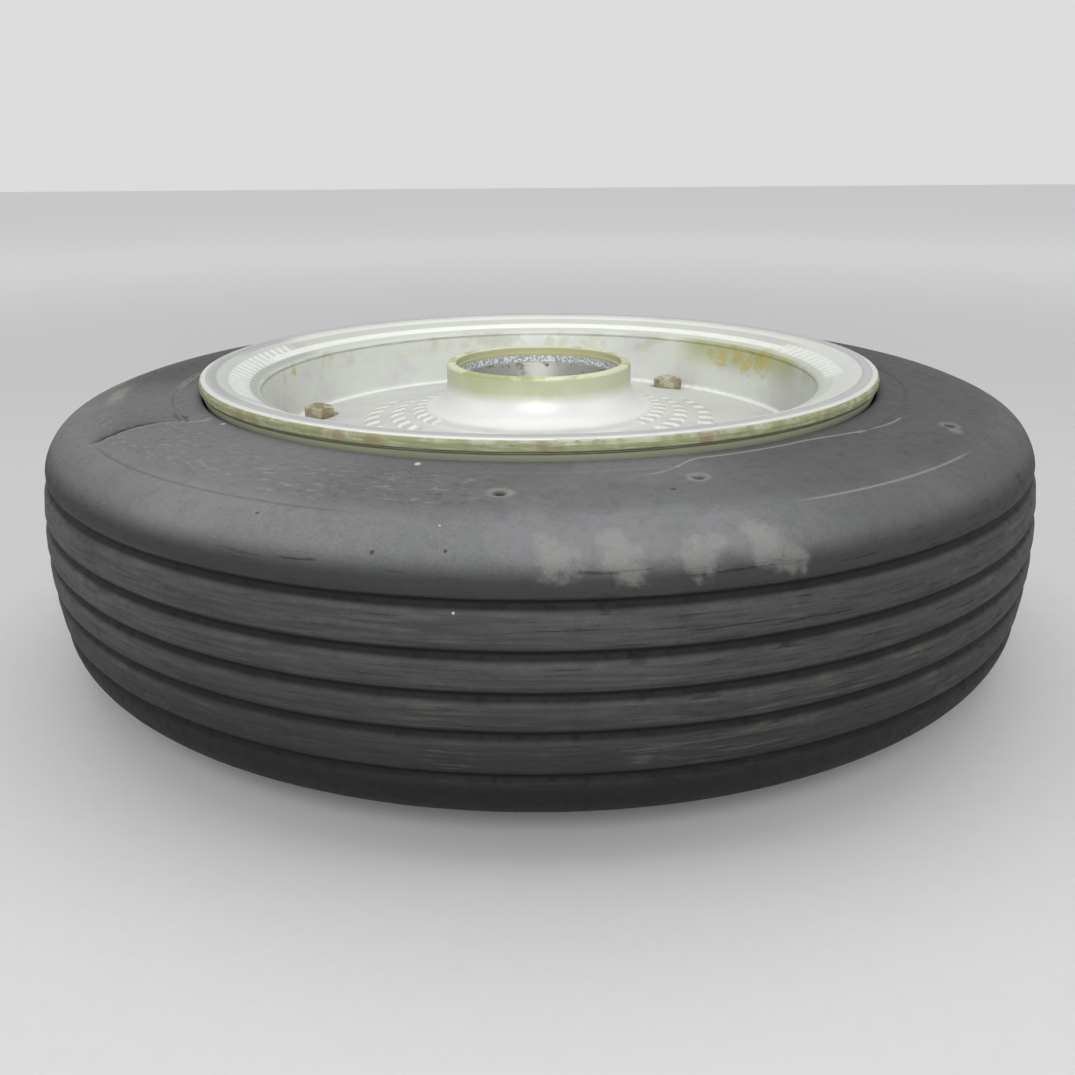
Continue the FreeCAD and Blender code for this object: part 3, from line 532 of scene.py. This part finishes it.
def dusty_rubber(tree, zone, settings, grit):
    """Dark rubber under grey dust, whose amount is partly real dust and partly painted light and shade: it
    grows up the tyre, dips low on the shoulder, thins on the lower ribs and fades away from the front.
    """
    # the amount of dust is partly painted light: higher parts lighter, the lower ribs and the low shoulder
    # darker
    bloom_and_shade = rise(tree, zone.height, -30.0, 10.0, 0.05, 0.29)
    bloom_and_shade = calc(tree, "SUBTRACT", bloom_and_shade, rise(tree, zone.height, 29.0, 33.0, 0.0, 0.22))
    bloom_and_shade = total(tree, bloom_and_shade, rise(tree, zone.height, 34.5, 43.0, 0.0, 0.92))
    bloom_and_shade = times(tree, bloom_and_shade, rise(tree, zone.patches(55.0, 0.5), 0.0, 1.0, 0.82, 1.0),
                  rise(tree, grit, 0.2, 0.8, 0.8, 1.1))
    sidewall = times(tree, zone.fade(zone.radius, 186.0, 200.0), rise(tree, zone.height, 40.0, 44.0))
    bloom_and_shade = times(tree, bloom_and_shade, rise(tree, sidewall, 0.0, 1.0, 1.15, 0.78))
    # painted light and shade by direction: away from the front the sidewall is darker and the ribs lighter
    aside = calc(tree, "ABSOLUTE", total(tree, zone.angle, 90.0))
    side_light_and_shade = times(tree, rise(tree, aside, 22.0, 58.0), rise(tree, zone.height, 30.0, 36.0, 0.45, -0.26))
    bloom_and_shade = times(tree, bloom_and_shade, total(tree, 1.0, side_light_and_shade))
    tints = zone.patches(24.0, 0.5)
    dust = mix(tree, tints, rgba(settings.dust), rgba(settings.green_dust))
    return mix(tree, bloom_and_shade, rgba(settings.rubber), dust), sidewall, tints


def weathered_sidewall(tree, zone, settings, base, sidewall):
    """Rough zone where the moulded marks have gone, painted shade over the sunk wall beyond the crease, and
    scuffs.
    """
    dark, beyond_shade, scuff_pale = (0.06, 0.06, 0.065), (0.06, 0.065, 0.06), (0.36, 0.35, 0.30)
    rough_zone = times(tree, zone.ring(163.0, 190.0, 3.0), zone.turn(-155.0, -100.0, 8.0), sidewall)
    base = over(tree, base, dark, rough_zone, zone.patches(2.2, 0.36), 0.28)
    dashes = zone.grain(34.0, 0.7)
    base = over(tree, base, settings.smudge, rough_zone, rise(tree, dashes, 0.56, 0.66), 0.45)
    base = over(tree, base, dark, rough_zone, zone.fade(dashes, 0.33, 0.42), 0.5)
    # painted shade over the sunk wall beyond the crease
    beyond = times(tree, zone.left_turn(110.0, 207.5, 2.5), zone.fade(zone.radius, 180.0, 190.0), sidewall)
    base = over(tree, base, beyond_shade, beyond, 0.55)
    ledges = most(tree, times(tree, zone.ring(158.5, 160.5, 2.0), zone.left_turn(176.0, 184.0, 9.0)),
                  times(tree, zone.ring(183.5, 186.0, 4.0), zone.left_turn(187.0, 191.0, 6.0)),
                  times(tree, zone.ring(192.0, 194.5, 1.5), zone.left_turn(150.0, 178.0, 8.0)))
    scuffs = times(tree, ledges, rise(tree, dashes, 0.38, 0.52, 0.4, 1.0))
    return over(tree, base, scuff_pale, scuffs, rise(tree, zone.height, 40.0, 42.0), 0.55)


def painted_light_and_shade(tree, zone, base, mottle):
    """Painted shade behind, at the right and under the lowest rib, painted light at the left, and a fine dark
    mottle.
    """
    behind_shade, right_side_shade, left_side_light = (0.06, 0.062, 0.062), (0.05, 0.052, 0.05), (0.30, 0.30, 0.31)
    speck, under_rib_shade = (0.06, 0.06, 0.06), (0.006, 0.006, 0.006)
    north = times(tree, zone.radius, calc(tree, "SINE", calc(tree, "RADIANS", zone.angle)))
    # painted shade behind and at the right, painted light at the left
    base = over(tree, base, behind_shade, rise(tree, north, -60.0, 60.0), 0.45)
    base = over(tree, base, right_side_shade, zone.turn(-58.0, 60.0, 18.0), 0.45)
    left = zone.turn(-165.0, -125.0, 20.0)
    base = over(tree, base, left_side_light, left, rise(tree, zone.height, 40.0, 52.0), 0.3)
    base = over(tree, base, speck, mottle, 0.08)
    # painted shade under the lowest rib
    return over(tree, base, under_rib_shade, rise(tree, zone.height, -31.0, -26.0, 0.7, 0.0))


def ribs_and_grooves(tree, zone, settings, base, tints):
    """Earth and streaks on the ribs, cracks that run round them, and painted shade in the grooves."""
    streak, crack_black, groove_shade = (0.015, 0.015, 0.015), (0.010, 0.010, 0.010), (0.006, 0.006, 0.006)
    long_grain = zone.grain(9.0, 0.9)
    on_tread = zone.fade(zone.level, 29.5, 32.0)
    base = over(tree, base, streak, zone.fade(long_grain, 0.35, 0.62), on_tread, 0.35)
    earth = times(tree, rise(tree, long_grain, 0.50, 0.66), rise(tree, tints, 0.1, 0.9), on_tread)
    base = over(tree, base, settings.brown_dust, earth, rise(tree, zone.angle, -110.0, -60.0, 0.4, 0.6))
    crack = times(tree, zone.fade(zone.grain(13.0, 1.9), 0.32, 0.40), zone.fade(zone.level, 36.0, 42.0),
                  rise(tree, zone.angle, -100.0, -70.0, 0.55, 1.0))
    wandering = total(tree, zone.height, times(tree, calc(tree, "SUBTRACT", long_grain, 0.5), 3.0))
    for up, start, end in LONG_CRACKS:
        line = times(tree, band(tree, wandering, up - 0.12, up + 0.12, 0.3), zone.turn(start, end, 1.0))
        crack = most(tree, crack, line)
    base = over(tree, base, crack_black, crack, 0.6)
    crown = settings.crown / MM
    squared = calc(tree, "SUBTRACT", crown * crown, times(tree, zone.height, zone.height))
    tread = total(tree, calc(tree, "SQRT", squared), settings.tread_radius / MM - crown)
    under = calc(tree, "SUBTRACT", tread, zone.radius)
    # painted shade in the grooves
    groove_shade_mask = times(tree, rise(tree, under, 0.45, 1.7), on_tread)
    return over(tree, base, groove_shade, groove_shade_mask, 0.93), long_grain, crack


def moulded_lines(tree, zone, settings, base):
    """Shoulder line with painted shade on its left and a painted highlight on its right, the line that curls
    round at the right, and the painted shade and pale edges of the crease and vents from the mesh's
    attributes.
    """
    shoulder_line_shade, cleft_and_hole_shade, crease_pale = (0.03, 0.03, 0.03), (0.005, 0.005, 0.005), (0.66, 0.64, 0.56)
    line = times(tree, zone.ring(195.5, 196.1, 0.35), rise(tree, zone.height, 30.0, 32.0))
    # painted shade on the shoulder line's step at the left, and a painted highlight in the smear colour at
    # the right
    base = over(tree, base, shoulder_line_shade, line, zone.turn(-142.0, -112.0, 8.0), 0.25)
    base = over(tree, base, settings.smudge, line, zone.turn(-62.0, -43.0, 6.0), 0.5)
    swing = total(tree, rise(tree, zone.angle, -54.0, -32.7, 154.4, 163.5),
                  rise(tree, zone.angle, -78.0, -69.6, 11.0, 0.0))
    off_line = calc(tree, "SUBTRACT", zone.radius, swing)
    curl = times(tree, band(tree, off_line, -0.3, 0.3, 0.5), zone.turn(-77.0, -33.0, 2.0))
    base = over(tree, base, settings.smudge, curl, rise(tree, zone.height, 45.0, 47.0), 0.6)
    # painted shade in the crease's cleft, over its sunk side and in the vent holes, and their pale edges
    for name, tint in (("crease_and_vent_shade", cleft_and_hole_shade), ("crease_pale", crease_pale)):
        stored = tree.nodes.new("ShaderNodeAttribute")
        stored.attribute_name = name
        base = over(tree, base, tint, stored.outputs["Fac"])
    return base


def worn_rubber(settings):
    """Old rubber: grey dust above with painted light and shade in its amount, painted shade in the grooves
    and on the lower ribs, fine cracks and dry smears.
    """
    chip_pale, pit_black = (0.62, 0.60, 0.50), (0.02, 0.02, 0.02)
    material, tree, shader, place = start_material("worn_rubber")
    zone = Zones(tree, place)
    mottle = zone.patches(4.0, 0.5)
    grit = noise_at(tree, place, 1500.0, 2.0)
    base, sidewall, tints = dusty_rubber(tree, zone, settings, grit)
    base = weathered_sidewall(tree, zone, settings, base, sidewall)
    base = painted_light_and_shade(tree, zone, base, mottle)
    base, long_grain, crack = ribs_and_grooves(tree, zone, settings, base, tints)
    base = moulded_lines(tree, zone, settings, base)
    smears = times(tree, zone.spots(SMEARS, 1.9), rise(tree, grit, 0.2, 0.8, 0.8, 1.0))
    base = over(tree, base, settings.smudge, smears, 0.42)
    base = over(tree, base, chip_pale, zone.spots(CHIPS, 1.0))
    pits = zone.spots(PITS, 1.2)
    base = over(tree, base, pit_black, pits, 0.75)
    tree.links.new(base, shader.inputs["Base Color"])
    shader.inputs["Specular IOR Level"].default_value = 0.22
    tree.links.new(total(tree, 0.66, times(tree, mottle, 0.12)), shader.inputs["Roughness"])
    relief = total(tree, times(tree, long_grain, 0.4), times(tree, mottle, 0.2), times(tree, grit, 0.25))
    relief = calc(tree, "SUBTRACT", relief, total(tree, times(tree, crack, 0.9), pits))
    bump(tree, shader, relief, 0.35 * MM, 0.6)
    return material


def darker(tint):
    return [0.6 * part for part in tint]


def steel(name, tint, roughness, rust_share, rust=(0.16, 0.08, 0.035)):
    """Bare or plated metal with fine turning marks and some rust or tarnish."""
    material, tree, shader, place = start_material(name)
    zone = Zones(tree, place)
    grain = zone.grain(30.0, 5.0)
    rusty = zone.patches(5.0, rust_share)
    base = over(tree, rgba(tint), darker(tint), grain, 0.4)
    base = over(tree, base, rust, rusty)
    tree.links.new(base, shader.inputs["Base Color"])
    tree.links.new(calc(tree, "SUBTRACT", 1.0, times(tree, rusty, 0.9)), shader.inputs["Metallic"])
    rough = total(tree, roughness, times(tree, grain, 0.15), times(tree, rusty, 0.4))
    tree.links.new(rough, shader.inputs["Roughness"])
    bump(tree, shader, total(tree, times(tree, grain, 0.3), rusty), 0.08 * MM, 0.6)
    return material


def plain_soft(name, tint, roughness, size):
    """Matte rubber or felt with a fine mottle."""
    material, tree, shader, place = start_material(name)
    mottle = use_group(tree, blotches(), place, size, 0.5)[0]
    tree.links.new(over(tree, rgba(tint), darker(tint), mottle), shader.inputs["Base Color"])
    shader.inputs["Roughness"].default_value = roughness
    bump(tree, shader, mottle, 0.15 * MM, 0.7)
    return material


# ---- mesh helpers ----
def draw_outline(mesh, corners, step):
    """Closed wire in the XZ plane through (radius, height, fillet) corners, each rounded by an arc."""
    points = [Vector((corner[0], 0.0, corner[1])) for corner in corners]
    count = len(points)
    backs = [(points[i - 1] - points[i]).normalized() for i in range(count)]
    aheads = [(points[(i + 1) % count] - points[i]).normalized() for i in range(count)]
    turns = [math.pi - back.angle(ahead) for back, ahead in zip(backs, aheads)]
    reaches = [corner[2] * math.tan(turn / 2) for corner, turn in zip(corners, turns)]
    shares = []
    for i in range(count):
        run = (points[(i + 1) % count] - points[i]).length
        shares.append(min(1.0, 0.98 * run / (reaches[i] + reaches[(i + 1) % count])))
    first = last = None
    for i, point in enumerate(points):
        reach = reaches[i] * min(shares[i - 1], shares[i])
        fillet = reach / math.tan(turns[i] / 2)
        start = mesh.verts.new(point + backs[i] * reach)
        if last is None:
            first = start
        else:
            mesh.edges.new((last, start))
        centre = point + (backs[i] + aheads[i]).normalized() * fillet / math.cos(turns[i] / 2)
        steps = max(2, round(fillet * turns[i] / step))
        spun = bmesh.ops.spin(mesh, geom=[start], cent=centre, axis=aheads[i].cross(backs[i]),
                              angle=turns[i], steps=steps)
        last = spun["geom_last"][0]
    mesh.edges.new((last, first))
    bmesh.ops.remove_doubles(mesh, verts=mesh.verts, dist=0.01 * MM)
    for edge in list(mesh.edges):
        cuts = int(edge.calc_length() / (2.5 * step))
        if cuts:
            bmesh.ops.subdivide_edges(mesh, edges=[edge], cuts=cuts)


def spin_round(mesh, steps):
    bmesh.ops.spin(mesh, geom=mesh.verts[:] + mesh.edges[:], cent=(0, 0, 0), axis=(0, 0, 1),
                   angle=2 * math.pi, steps=steps, use_merge=True)
    bmesh.ops.remove_doubles(mesh, verts=mesh.verts, dist=0.005 * MM)
    bmesh.ops.recalc_face_normals(mesh, faces=mesh.faces)


def refine(mesh, cuts, chosen):
    """Divide the upward faces whose centre is chosen."""
    upward = [face for face in mesh.faces if face.normal.z > 0.2]
    edges = {edge for face in upward if chosen(face.calc_center_median()) for edge in face.edges}
    bmesh.ops.subdivide_edges(mesh, edges=list(edges), cuts=cuts, use_grid_fill=True)


# radius in millimetres and direction in degrees, at points of the crease's line and at each vent mark
CREASE = ((155.0, -147.6), (162.0, -150.0), (170.0, -150.9),
          (180.0, -149.9), (187.0, -149.1), (193.0, -148.7))
VENTS = ((180.0, 266.0), (172.0, 287.0), (182.0, 328.0))
CREASE_START = 152.0
CREASE_END = 197.0
# the first layer holds painted shade in the crease and the vent holes
CREASE_LAYERS = ("crease_and_vent_shade", "crease_pale")
UPPER_SIDE = 40.0 * MM
OUTLINE_STEP = 1.6 * MM


def off_crease(point):
    """Distance across from the crease's wandering line, in millimetres, and how far along it is."""
    out = point.to_2d().length / MM
    angle = math.degrees(math.atan2(point.y, point.x))
    line = CREASE[-1][1]
    for (start, first), (end, last) in zip(CREASE, CREASE[1:]):
        if out < end:
            line = first + (last - first) * max(0.0, (out - start) / (end - start))
            break
    wander = 0.6 * noise.noise(point * 300.0)
    return math.radians(angle - line) * out + wander, out


def near_crease(point):
    across, out = off_crease(point)
    return point.z > UPPER_SIDE and CREASE_START < out < CREASE_END and abs(across) < 6.0


def bell(value, reach, power=2):
    """1 at zero, dying away over reach on both sides."""
    return math.exp(-(value / reach) ** power)


def vent_wear(gap):
    """Depth, painted shade and pale at a distance from a vent mark's middle: a shallow dish with a small
    hole, whose dark is painted shade.
    """
    if gap >= 5.0:
        return 0.0, 0.0, 0.0
    depth = 0.5 * MM * max(0.0, 1.0 - (gap / 4.2) ** 2) + 2.0 * MM * bell(gap, 1.5, 4)
    return depth, bell(gap, 1.8, 4), 0.16 * bell(gap - 3.2, 1.1)


def crease_wear(across, out, cleft):
    """Depth, painted shade and pale by the crease: a cleft with a sunk lower side and a pale upper edge; the
    dark in the cleft and over the sunk side is painted shade.
    """
    if not (150.0 < out < 200.0 and -60.0 < across < 8.0):
        return 0.0, 0.0, 0.0

    def sunk(reach):
        return math.exp(across / reach) if across < 0.0 else 0.0

    inner = min(1.0, max(0.0, (out - CREASE_START) / 22.0))
    ends = min(1.0, max(0.0, (out - CREASE_START) / 5.0), max(0.0, (CREASE_END - out) / 6.0))
    depth = 0.9 * MM * sunk(16.0) + cleft * (0.25 + 0.75 * inner) * bell(across, 1.5)
    shade = max(0.45 * sunk(9.0), bell(across + 1.2, 2.3))
    return ends * depth, ends * inner ** 2 * shade, ends * (1.0 - 0.7 * inner) * bell(across - 1.7, 1.7)


def wear_tyre(mesh, settings):
    """Vent marks, shoulder line, crease and uneven wear, all cut inwards from the moulded shape."""
    vents = [polar(out, angle, 52.0) for out, angle in VENTS]

    def from_vent(point):
        if point.z <= UPPER_SIDE:
            return math.inf
        return min((point - vent).to_2d().length for vent in vents) / MM

    refine(mesh, 3, lambda centre: from_vent(centre) < 6.5)
    refine(mesh, 1, lambda centre: from_vent(centre) < 1.8)
    refine(mesh, 2, near_crease)
    mesh.normal_update()
    for name in CREASE_LAYERS:
        mesh.verts.layers.float.new(name)
    dark, pale = (mesh.verts.layers.float[name] for name in CREASE_LAYERS)
    for vert in mesh.verts:
        point = vert.co
        depth = settings.wear * (0.5 + 0.5 * noise.noise(point * 28.0) + 0.25 * noise.noise(point * 95.0))
        depth = min(settings.wear, max(0.0, depth))
        if point.z > UPPER_SIDE and vert.normal.z > 0.15:
            across, out = off_crease(point)
            # the wall swells where it meets the flange
            past_rim = out - 149.0
            if past_rim > -0.5:
                depth -= 0.95 * MM * bell(past_rim, 7.0)
            if abs(out * MM - settings.shoulder_line) < 0.4 * MM:
                depth += 0.2 * MM
            vent = vent_wear(from_vent(point))
            crease = crease_wear(across, out, settings.crease)
            depth += vent[0] + crease[0]
            # the dark layer is painted shade in the vent holes, the crease's cleft and its sunk side
            vert[dark] = max(vent[1], crease[1])
            vert[pale] = max(vent[2], crease[2])
        vert.co = point - vert.normal * depth


def tyre_outline(settings):
    """Corners of the section in metres: across the tread, down the wall, round the bead and back inside."""
    radius = settings.tread_radius / MM
    width = settings.half_width / MM
    half = settings.groove_width / MM / 2
    deep = settings.groove_depth / MM
    crown = settings.crown / MM

    def surface(offset):
        return radius - crown + math.sqrt(crown ** 2 - offset ** 2)

    def groove(place):
        return [(surface(place - half), place - half, 3.5), (surface(place) - deep, place, 0.9),
                (surface(place + half), place + half, 3.5)]

    # the shoulder leans from the tread's edge to the wall, which is widest at a radius of 176
    tread_edge = width - 21.64
    slope = tread_edge / math.sqrt(crown ** 2 - tread_edge ** 2)
    lean_angle = math.radians(23.0)
    lean = math.tan(lean_angle)
    bulge = 58.0
    peak = 176.0 + bulge * math.tan(lean_angle / 2)
    top = (surface(tread_edge) - slope * (width + lean * peak - tread_edge)) / (1 - slope * lean)
    shoulder = [(top, width - lean * (top - peak), 22.0), (peak, width, bulge)]
    # a fine moulded line, then the bead's heel and toe, then the inner face
    ring = FLANGE_RADIUS / MM + 10.8
    bead = width - 5.95
    wall = [(ring + 0.8, width + 0.36, 0.3), (ring, width - 0.14, 0.3), (ring - 0.8, width + 0.39, 0.3),
            (148.9, width + 0.5, 1.5), (148.9, bead, 5.0), (127.1, bead, 7.3), (125.4, bead - 19.1, 1.5),
            (139.0, bead - 16.1, 8.0), (153.4, bead - 3.65, 12.0), (185.0, bead - 3.05, 22.0),
            (201.5, 30.0, 12.0)]
    upper = groove(13.05) + groove(28.4) + shoulder + wall
    lower = [(out, -up, fillet) for out, up, fillet in reversed(upper)]
    return [tuple(value * MM for value in corner) for corner in groove(0.0) + upper + lower]


def finished(mesh, name, body, material):
    """Turn a bmesh into an object that rides on a body."""
    for face in mesh.faces:
        face.smooth = True
    data = bpy.data.meshes.new(name)
    mesh.to_mesh(data)
    mesh.free()
    piece = bpy.data.objects.new(name, data)
    bpy.context.scene.collection.objects.link(piece)
    data.materials.append(material)
    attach(piece, body)
    return piece


def repaint(material, *nodes):
    for name in nodes:
        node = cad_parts[name]
        for slot in node.material_slots:
            slot.material = material
        if not node.material_slots:
            raise RuntimeError(name + " has no material slot")


# ---- operators ----
class WHEEL_OT_tyre(bpy.types.Operator):
    """Build the worn ribbed tyre and its rubber"""
    bl_idname = "wheel.tyre"
    bl_label = "Worn tyre"

    def execute(self, context):
        settings = context.scene.tyre_settings
        mesh = bmesh.new()
        draw_outline(mesh, tyre_outline(settings), OUTLINE_STEP)
        near_line = [edge for edge in mesh.edges if all(end.co.z > UPPER_SIDE for end in edge.verts)
                     and min(abs(end.co.x - settings.shoulder_line) for end in edge.verts) < OUTLINE_STEP]
        bmesh.ops.subdivide_edges(mesh, edges=near_line, cuts=3)
        spin_round(mesh, settings.turn_steps)
        wear_tyre(mesh, settings)
        tyre = finished(mesh, "worn_tyre", "wheel", worn_rubber(settings))
        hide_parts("tyre")
        return {"FINISHED"}


class WHEEL_OT_halves(bpy.types.Operator):
    """Finish both cast wheel halves in old silver paint"""
    bl_idname = "wheel.halves"
    bl_label = "Wheel halves"

    def execute(self, context):
        repaint(silver_paint(context.scene.paint_settings), "outboard_wheel_half", "inboard_wheel_half")
        return {"FINISHED"}


class WHEEL_OT_bearings(bpy.types.Operator):
    """Finish the cups, the inboard bearing and its grease seal"""
    bl_idname = "wheel.bearings"
    bl_label = "Bearings and seal"

    def execute(self, context):
        repaint(steel("ground_bearing_steel", (0.36, 0.37, 0.34), 0.46, 0.35, (0.17, 0.16, 0.11)),
                "outboard_bearing_cup", "inboard_bearing_cup", "bearing_cone", "bearing_rollers")
        repaint(steel("pressed_steel", (0.35, 0.35, 0.34), 0.35, 0.3), "bearing_cage", "seal_outer_ring",
                "seal_inner_ring", "seal_snap_ring")
        repaint(plain_soft("oiled_felt", (0.20, 0.17, 0.12), 0.9, 1.2), "seal_felt_ring")
        repaint(plain_soft("ring_rubber", (0.02, 0.02, 0.02), 0.5, 3.0), "wheel_seal_ring", "valve_seal")
        return {"FINISHED"}


class WHEEL_OT_tie_bolts(bpy.types.Operator):
    """Finish the rusty tie bolts, nuts and washers"""
    bl_idname = "wheel.tie_bolts"
    bl_label = "Tie bolts"

    def execute(self, context):
        repaint(steel("rusty_steel", (0.52, 0.50, 0.39), 0.6, 0.6, (0.30, 0.24, 0.14)), "tie_bolts",
                "tie_bolt_nuts", "tie_bolt_washers")
        return {"FINISHED"}


class WHEEL_OT_valve(bpy.types.Operator):
    """Finish the inflation valve"""
    bl_idname = "wheel.valve"
    bl_label = "Valve"

    def execute(self, context):
        repaint(steel("dull_brass", (0.50, 0.38, 0.18), 0.35, 0.3, (0.12, 0.09, 0.04)), "valve_stem",
                "valve_core", "valve_cap")
        return {"FINISHED"}


LENS_LENGTH = 37.28
SENSOR_WIDTH = 36.0
CAMERA_PLACE = (-1.15 * MM, -505.4 * MM, FLANGE_FACE + 90.6 * MM)
CAMERA_DIP = 0.33685
CAMERA_ROLL = -0.00738


class WHEEL_OT_stage(bpy.types.Operator):
    """Set the pale floor, soft lamps and camera"""
    bl_idname = "wheel.stage"
    bl_label = "Stage"

    def execute(self, context):
        settings = context.scene.stage_settings
        scene = context.scene
        scene.view_settings.view_transform = "Standard"
        mesh = bmesh.new()
        bmesh.ops.create_grid(mesh, x_segments=1, y_segments=1, size=6.0)
        bmesh.ops.translate(mesh, vec=(0, 0, FLOOR), verts=mesh.verts)
        data = bpy.data.meshes.new("floor")
        mesh.to_mesh(data)
        mesh.free()
        floor = bpy.data.objects.new("floor", data)
        scene.collection.objects.link(floor)
        data.materials.append(floor_material(settings))
        world = bpy.data.worlds.new("studio")
        world.use_nodes = True
        light_world(world.node_tree, settings)
        scene.world = world
        softbox("top_lamp", settings.top_lamp, 1.6, (0.0, 0.25, 1.5))
        softbox("front_lamp", settings.front_lamp, 0.9, (0.0, -1.5, 0.8))
        softbox("left_lamp", settings.side_lamp, 0.9, (-1.5, -0.3, 0.9))
        softbox("right_lamp", settings.side_lamp, 0.9, (1.5, -0.3, 0.9))
        lens = bpy.data.cameras.new("camera")
        lens.lens = LENS_LENGTH
        lens.sensor_width = SENSOR_WIDTH
        lens.clip_start = 0.01
        camera = bpy.data.objects.new("camera", lens)
        scene.collection.objects.link(camera)
        camera.location = CAMERA_PLACE
        turn = Matrix.Rotation(math.pi / 2 - CAMERA_DIP, 4, "X") @ Matrix.Rotation(CAMERA_ROLL, 4, "Z")
        camera.rotation_euler = turn.to_euler()
        scene.camera = camera
        return {"FINISHED"}


WHITE = (1.0, 1.0, 1.0, 1.0)
SEEN_RAYS = ("Is Camera Ray", "Is Glossy Ray", "Is Transmission Ray")


def seen_rays(tree):
    """1 where the camera looks, straight or by way of a reflection."""
    rays = tree.nodes.new("ShaderNodeLightPath")
    return most(tree, *(rays.outputs[kind] for kind in SEEN_RAYS))


def light_world(tree, settings):
    """Even light on the object, and a pale backdrop where the camera or a reflection sees it."""
    seen = seen_rays(tree)
    shade = tree.nodes["Background"]
    shade.inputs["Color"].default_value = WHITE
    tree.links.new(rise(tree, seen, 0.0, 1.0, settings.world, settings.backdrop), shade.inputs["Strength"])


def floor_material(settings):
    """Pale where the camera sees it, and darker in the light that it throws back up."""
    lit_grey = (0.22, 0.22, 0.22)
    material, tree, shader, place = start_material("pale_floor")
    seen = seen_rays(tree)
    speckle = use_group(tree, blotches(), place, 6.0, 0.5)[0]
    speckled = rgba([0.9 * part for part in settings.floor])
    pale = mix(tree, times(tree, speckle, 0.12), rgba(settings.floor), speckled)
    tree.links.new(mix(tree, seen, rgba(lit_grey), pale), shader.inputs["Base Color"])
    shader.inputs["Roughness"].default_value = 0.9
    # the far floor fades into the backdrop, and the floor round the wheel keeps its shadow
    away = tree.nodes.new("ShaderNodeVectorMath")
    away.operation = "LENGTH"
    tree.links.new(place, away.inputs[0])
    shader.inputs["Emission Color"].default_value = WHITE
    fade = rise(tree, away.outputs["Value"], 0.45, 2.2, 0.0, 0.36)
    tree.links.new(times(tree, fade, seen), shader.inputs["Emission Strength"])
    return material


def softbox(name, power, size, place):
    lamp = bpy.data.lights.new(name, "AREA")
    lamp.energy = power
    lamp.size = size
    holder = bpy.data.objects.new(name, lamp)
    holder.location = place
    holder.rotation_euler = (-Vector(place)).to_track_quat("-Z", "Y").to_euler()
    bpy.context.scene.collection.objects.link(holder)


class WHEEL_PT_panel(bpy.types.Panel):
    bl_idname = "WHEEL_PT_panel"
    bl_label = "Worn nose wheel"
    bl_space_type = "VIEW_3D"
    bl_region_type = "UI"
    bl_category = "Wheel"

    def draw(self, context):
        for name in SETTINGS:
            settings = getattr(context.scene, name)
            box = self.layout.box()
            for key in settings.__annotations__:
                box.prop(settings, key)
        for operator in STEPS:
            self.layout.operator(operator.bl_idname)


SETTINGS = {"tyre_settings": TyreSettings, "paint_settings": PaintSettings,
            "stage_settings": StageSettings}
STEPS = (WHEEL_OT_tyre, WHEEL_OT_halves, WHEEL_OT_bearings, WHEEL_OT_tie_bolts, WHEEL_OT_valve,
         WHEEL_OT_stage)


def register():
    for item in (*SETTINGS.values(), *STEPS, WHEEL_PT_panel):
        bpy.utils.register_class(item)
    for name, kind in SETTINGS.items():
        setattr(bpy.types.Scene, name, PointerProperty(type=kind))


def unregister():
    for name in SETTINGS:
        delattr(bpy.types.Scene, name)
    for item in reversed((*SETTINGS.values(), *STEPS, WHEEL_PT_panel)):
        bpy.utils.unregister_class(item)


def main():
    register()
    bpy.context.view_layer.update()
    for operator in STEPS:
        group_name, call = operator.bl_idname.split(".")
        getattr(getattr(bpy.ops, group_name), call)()


if __name__ == "__main__":
    main()
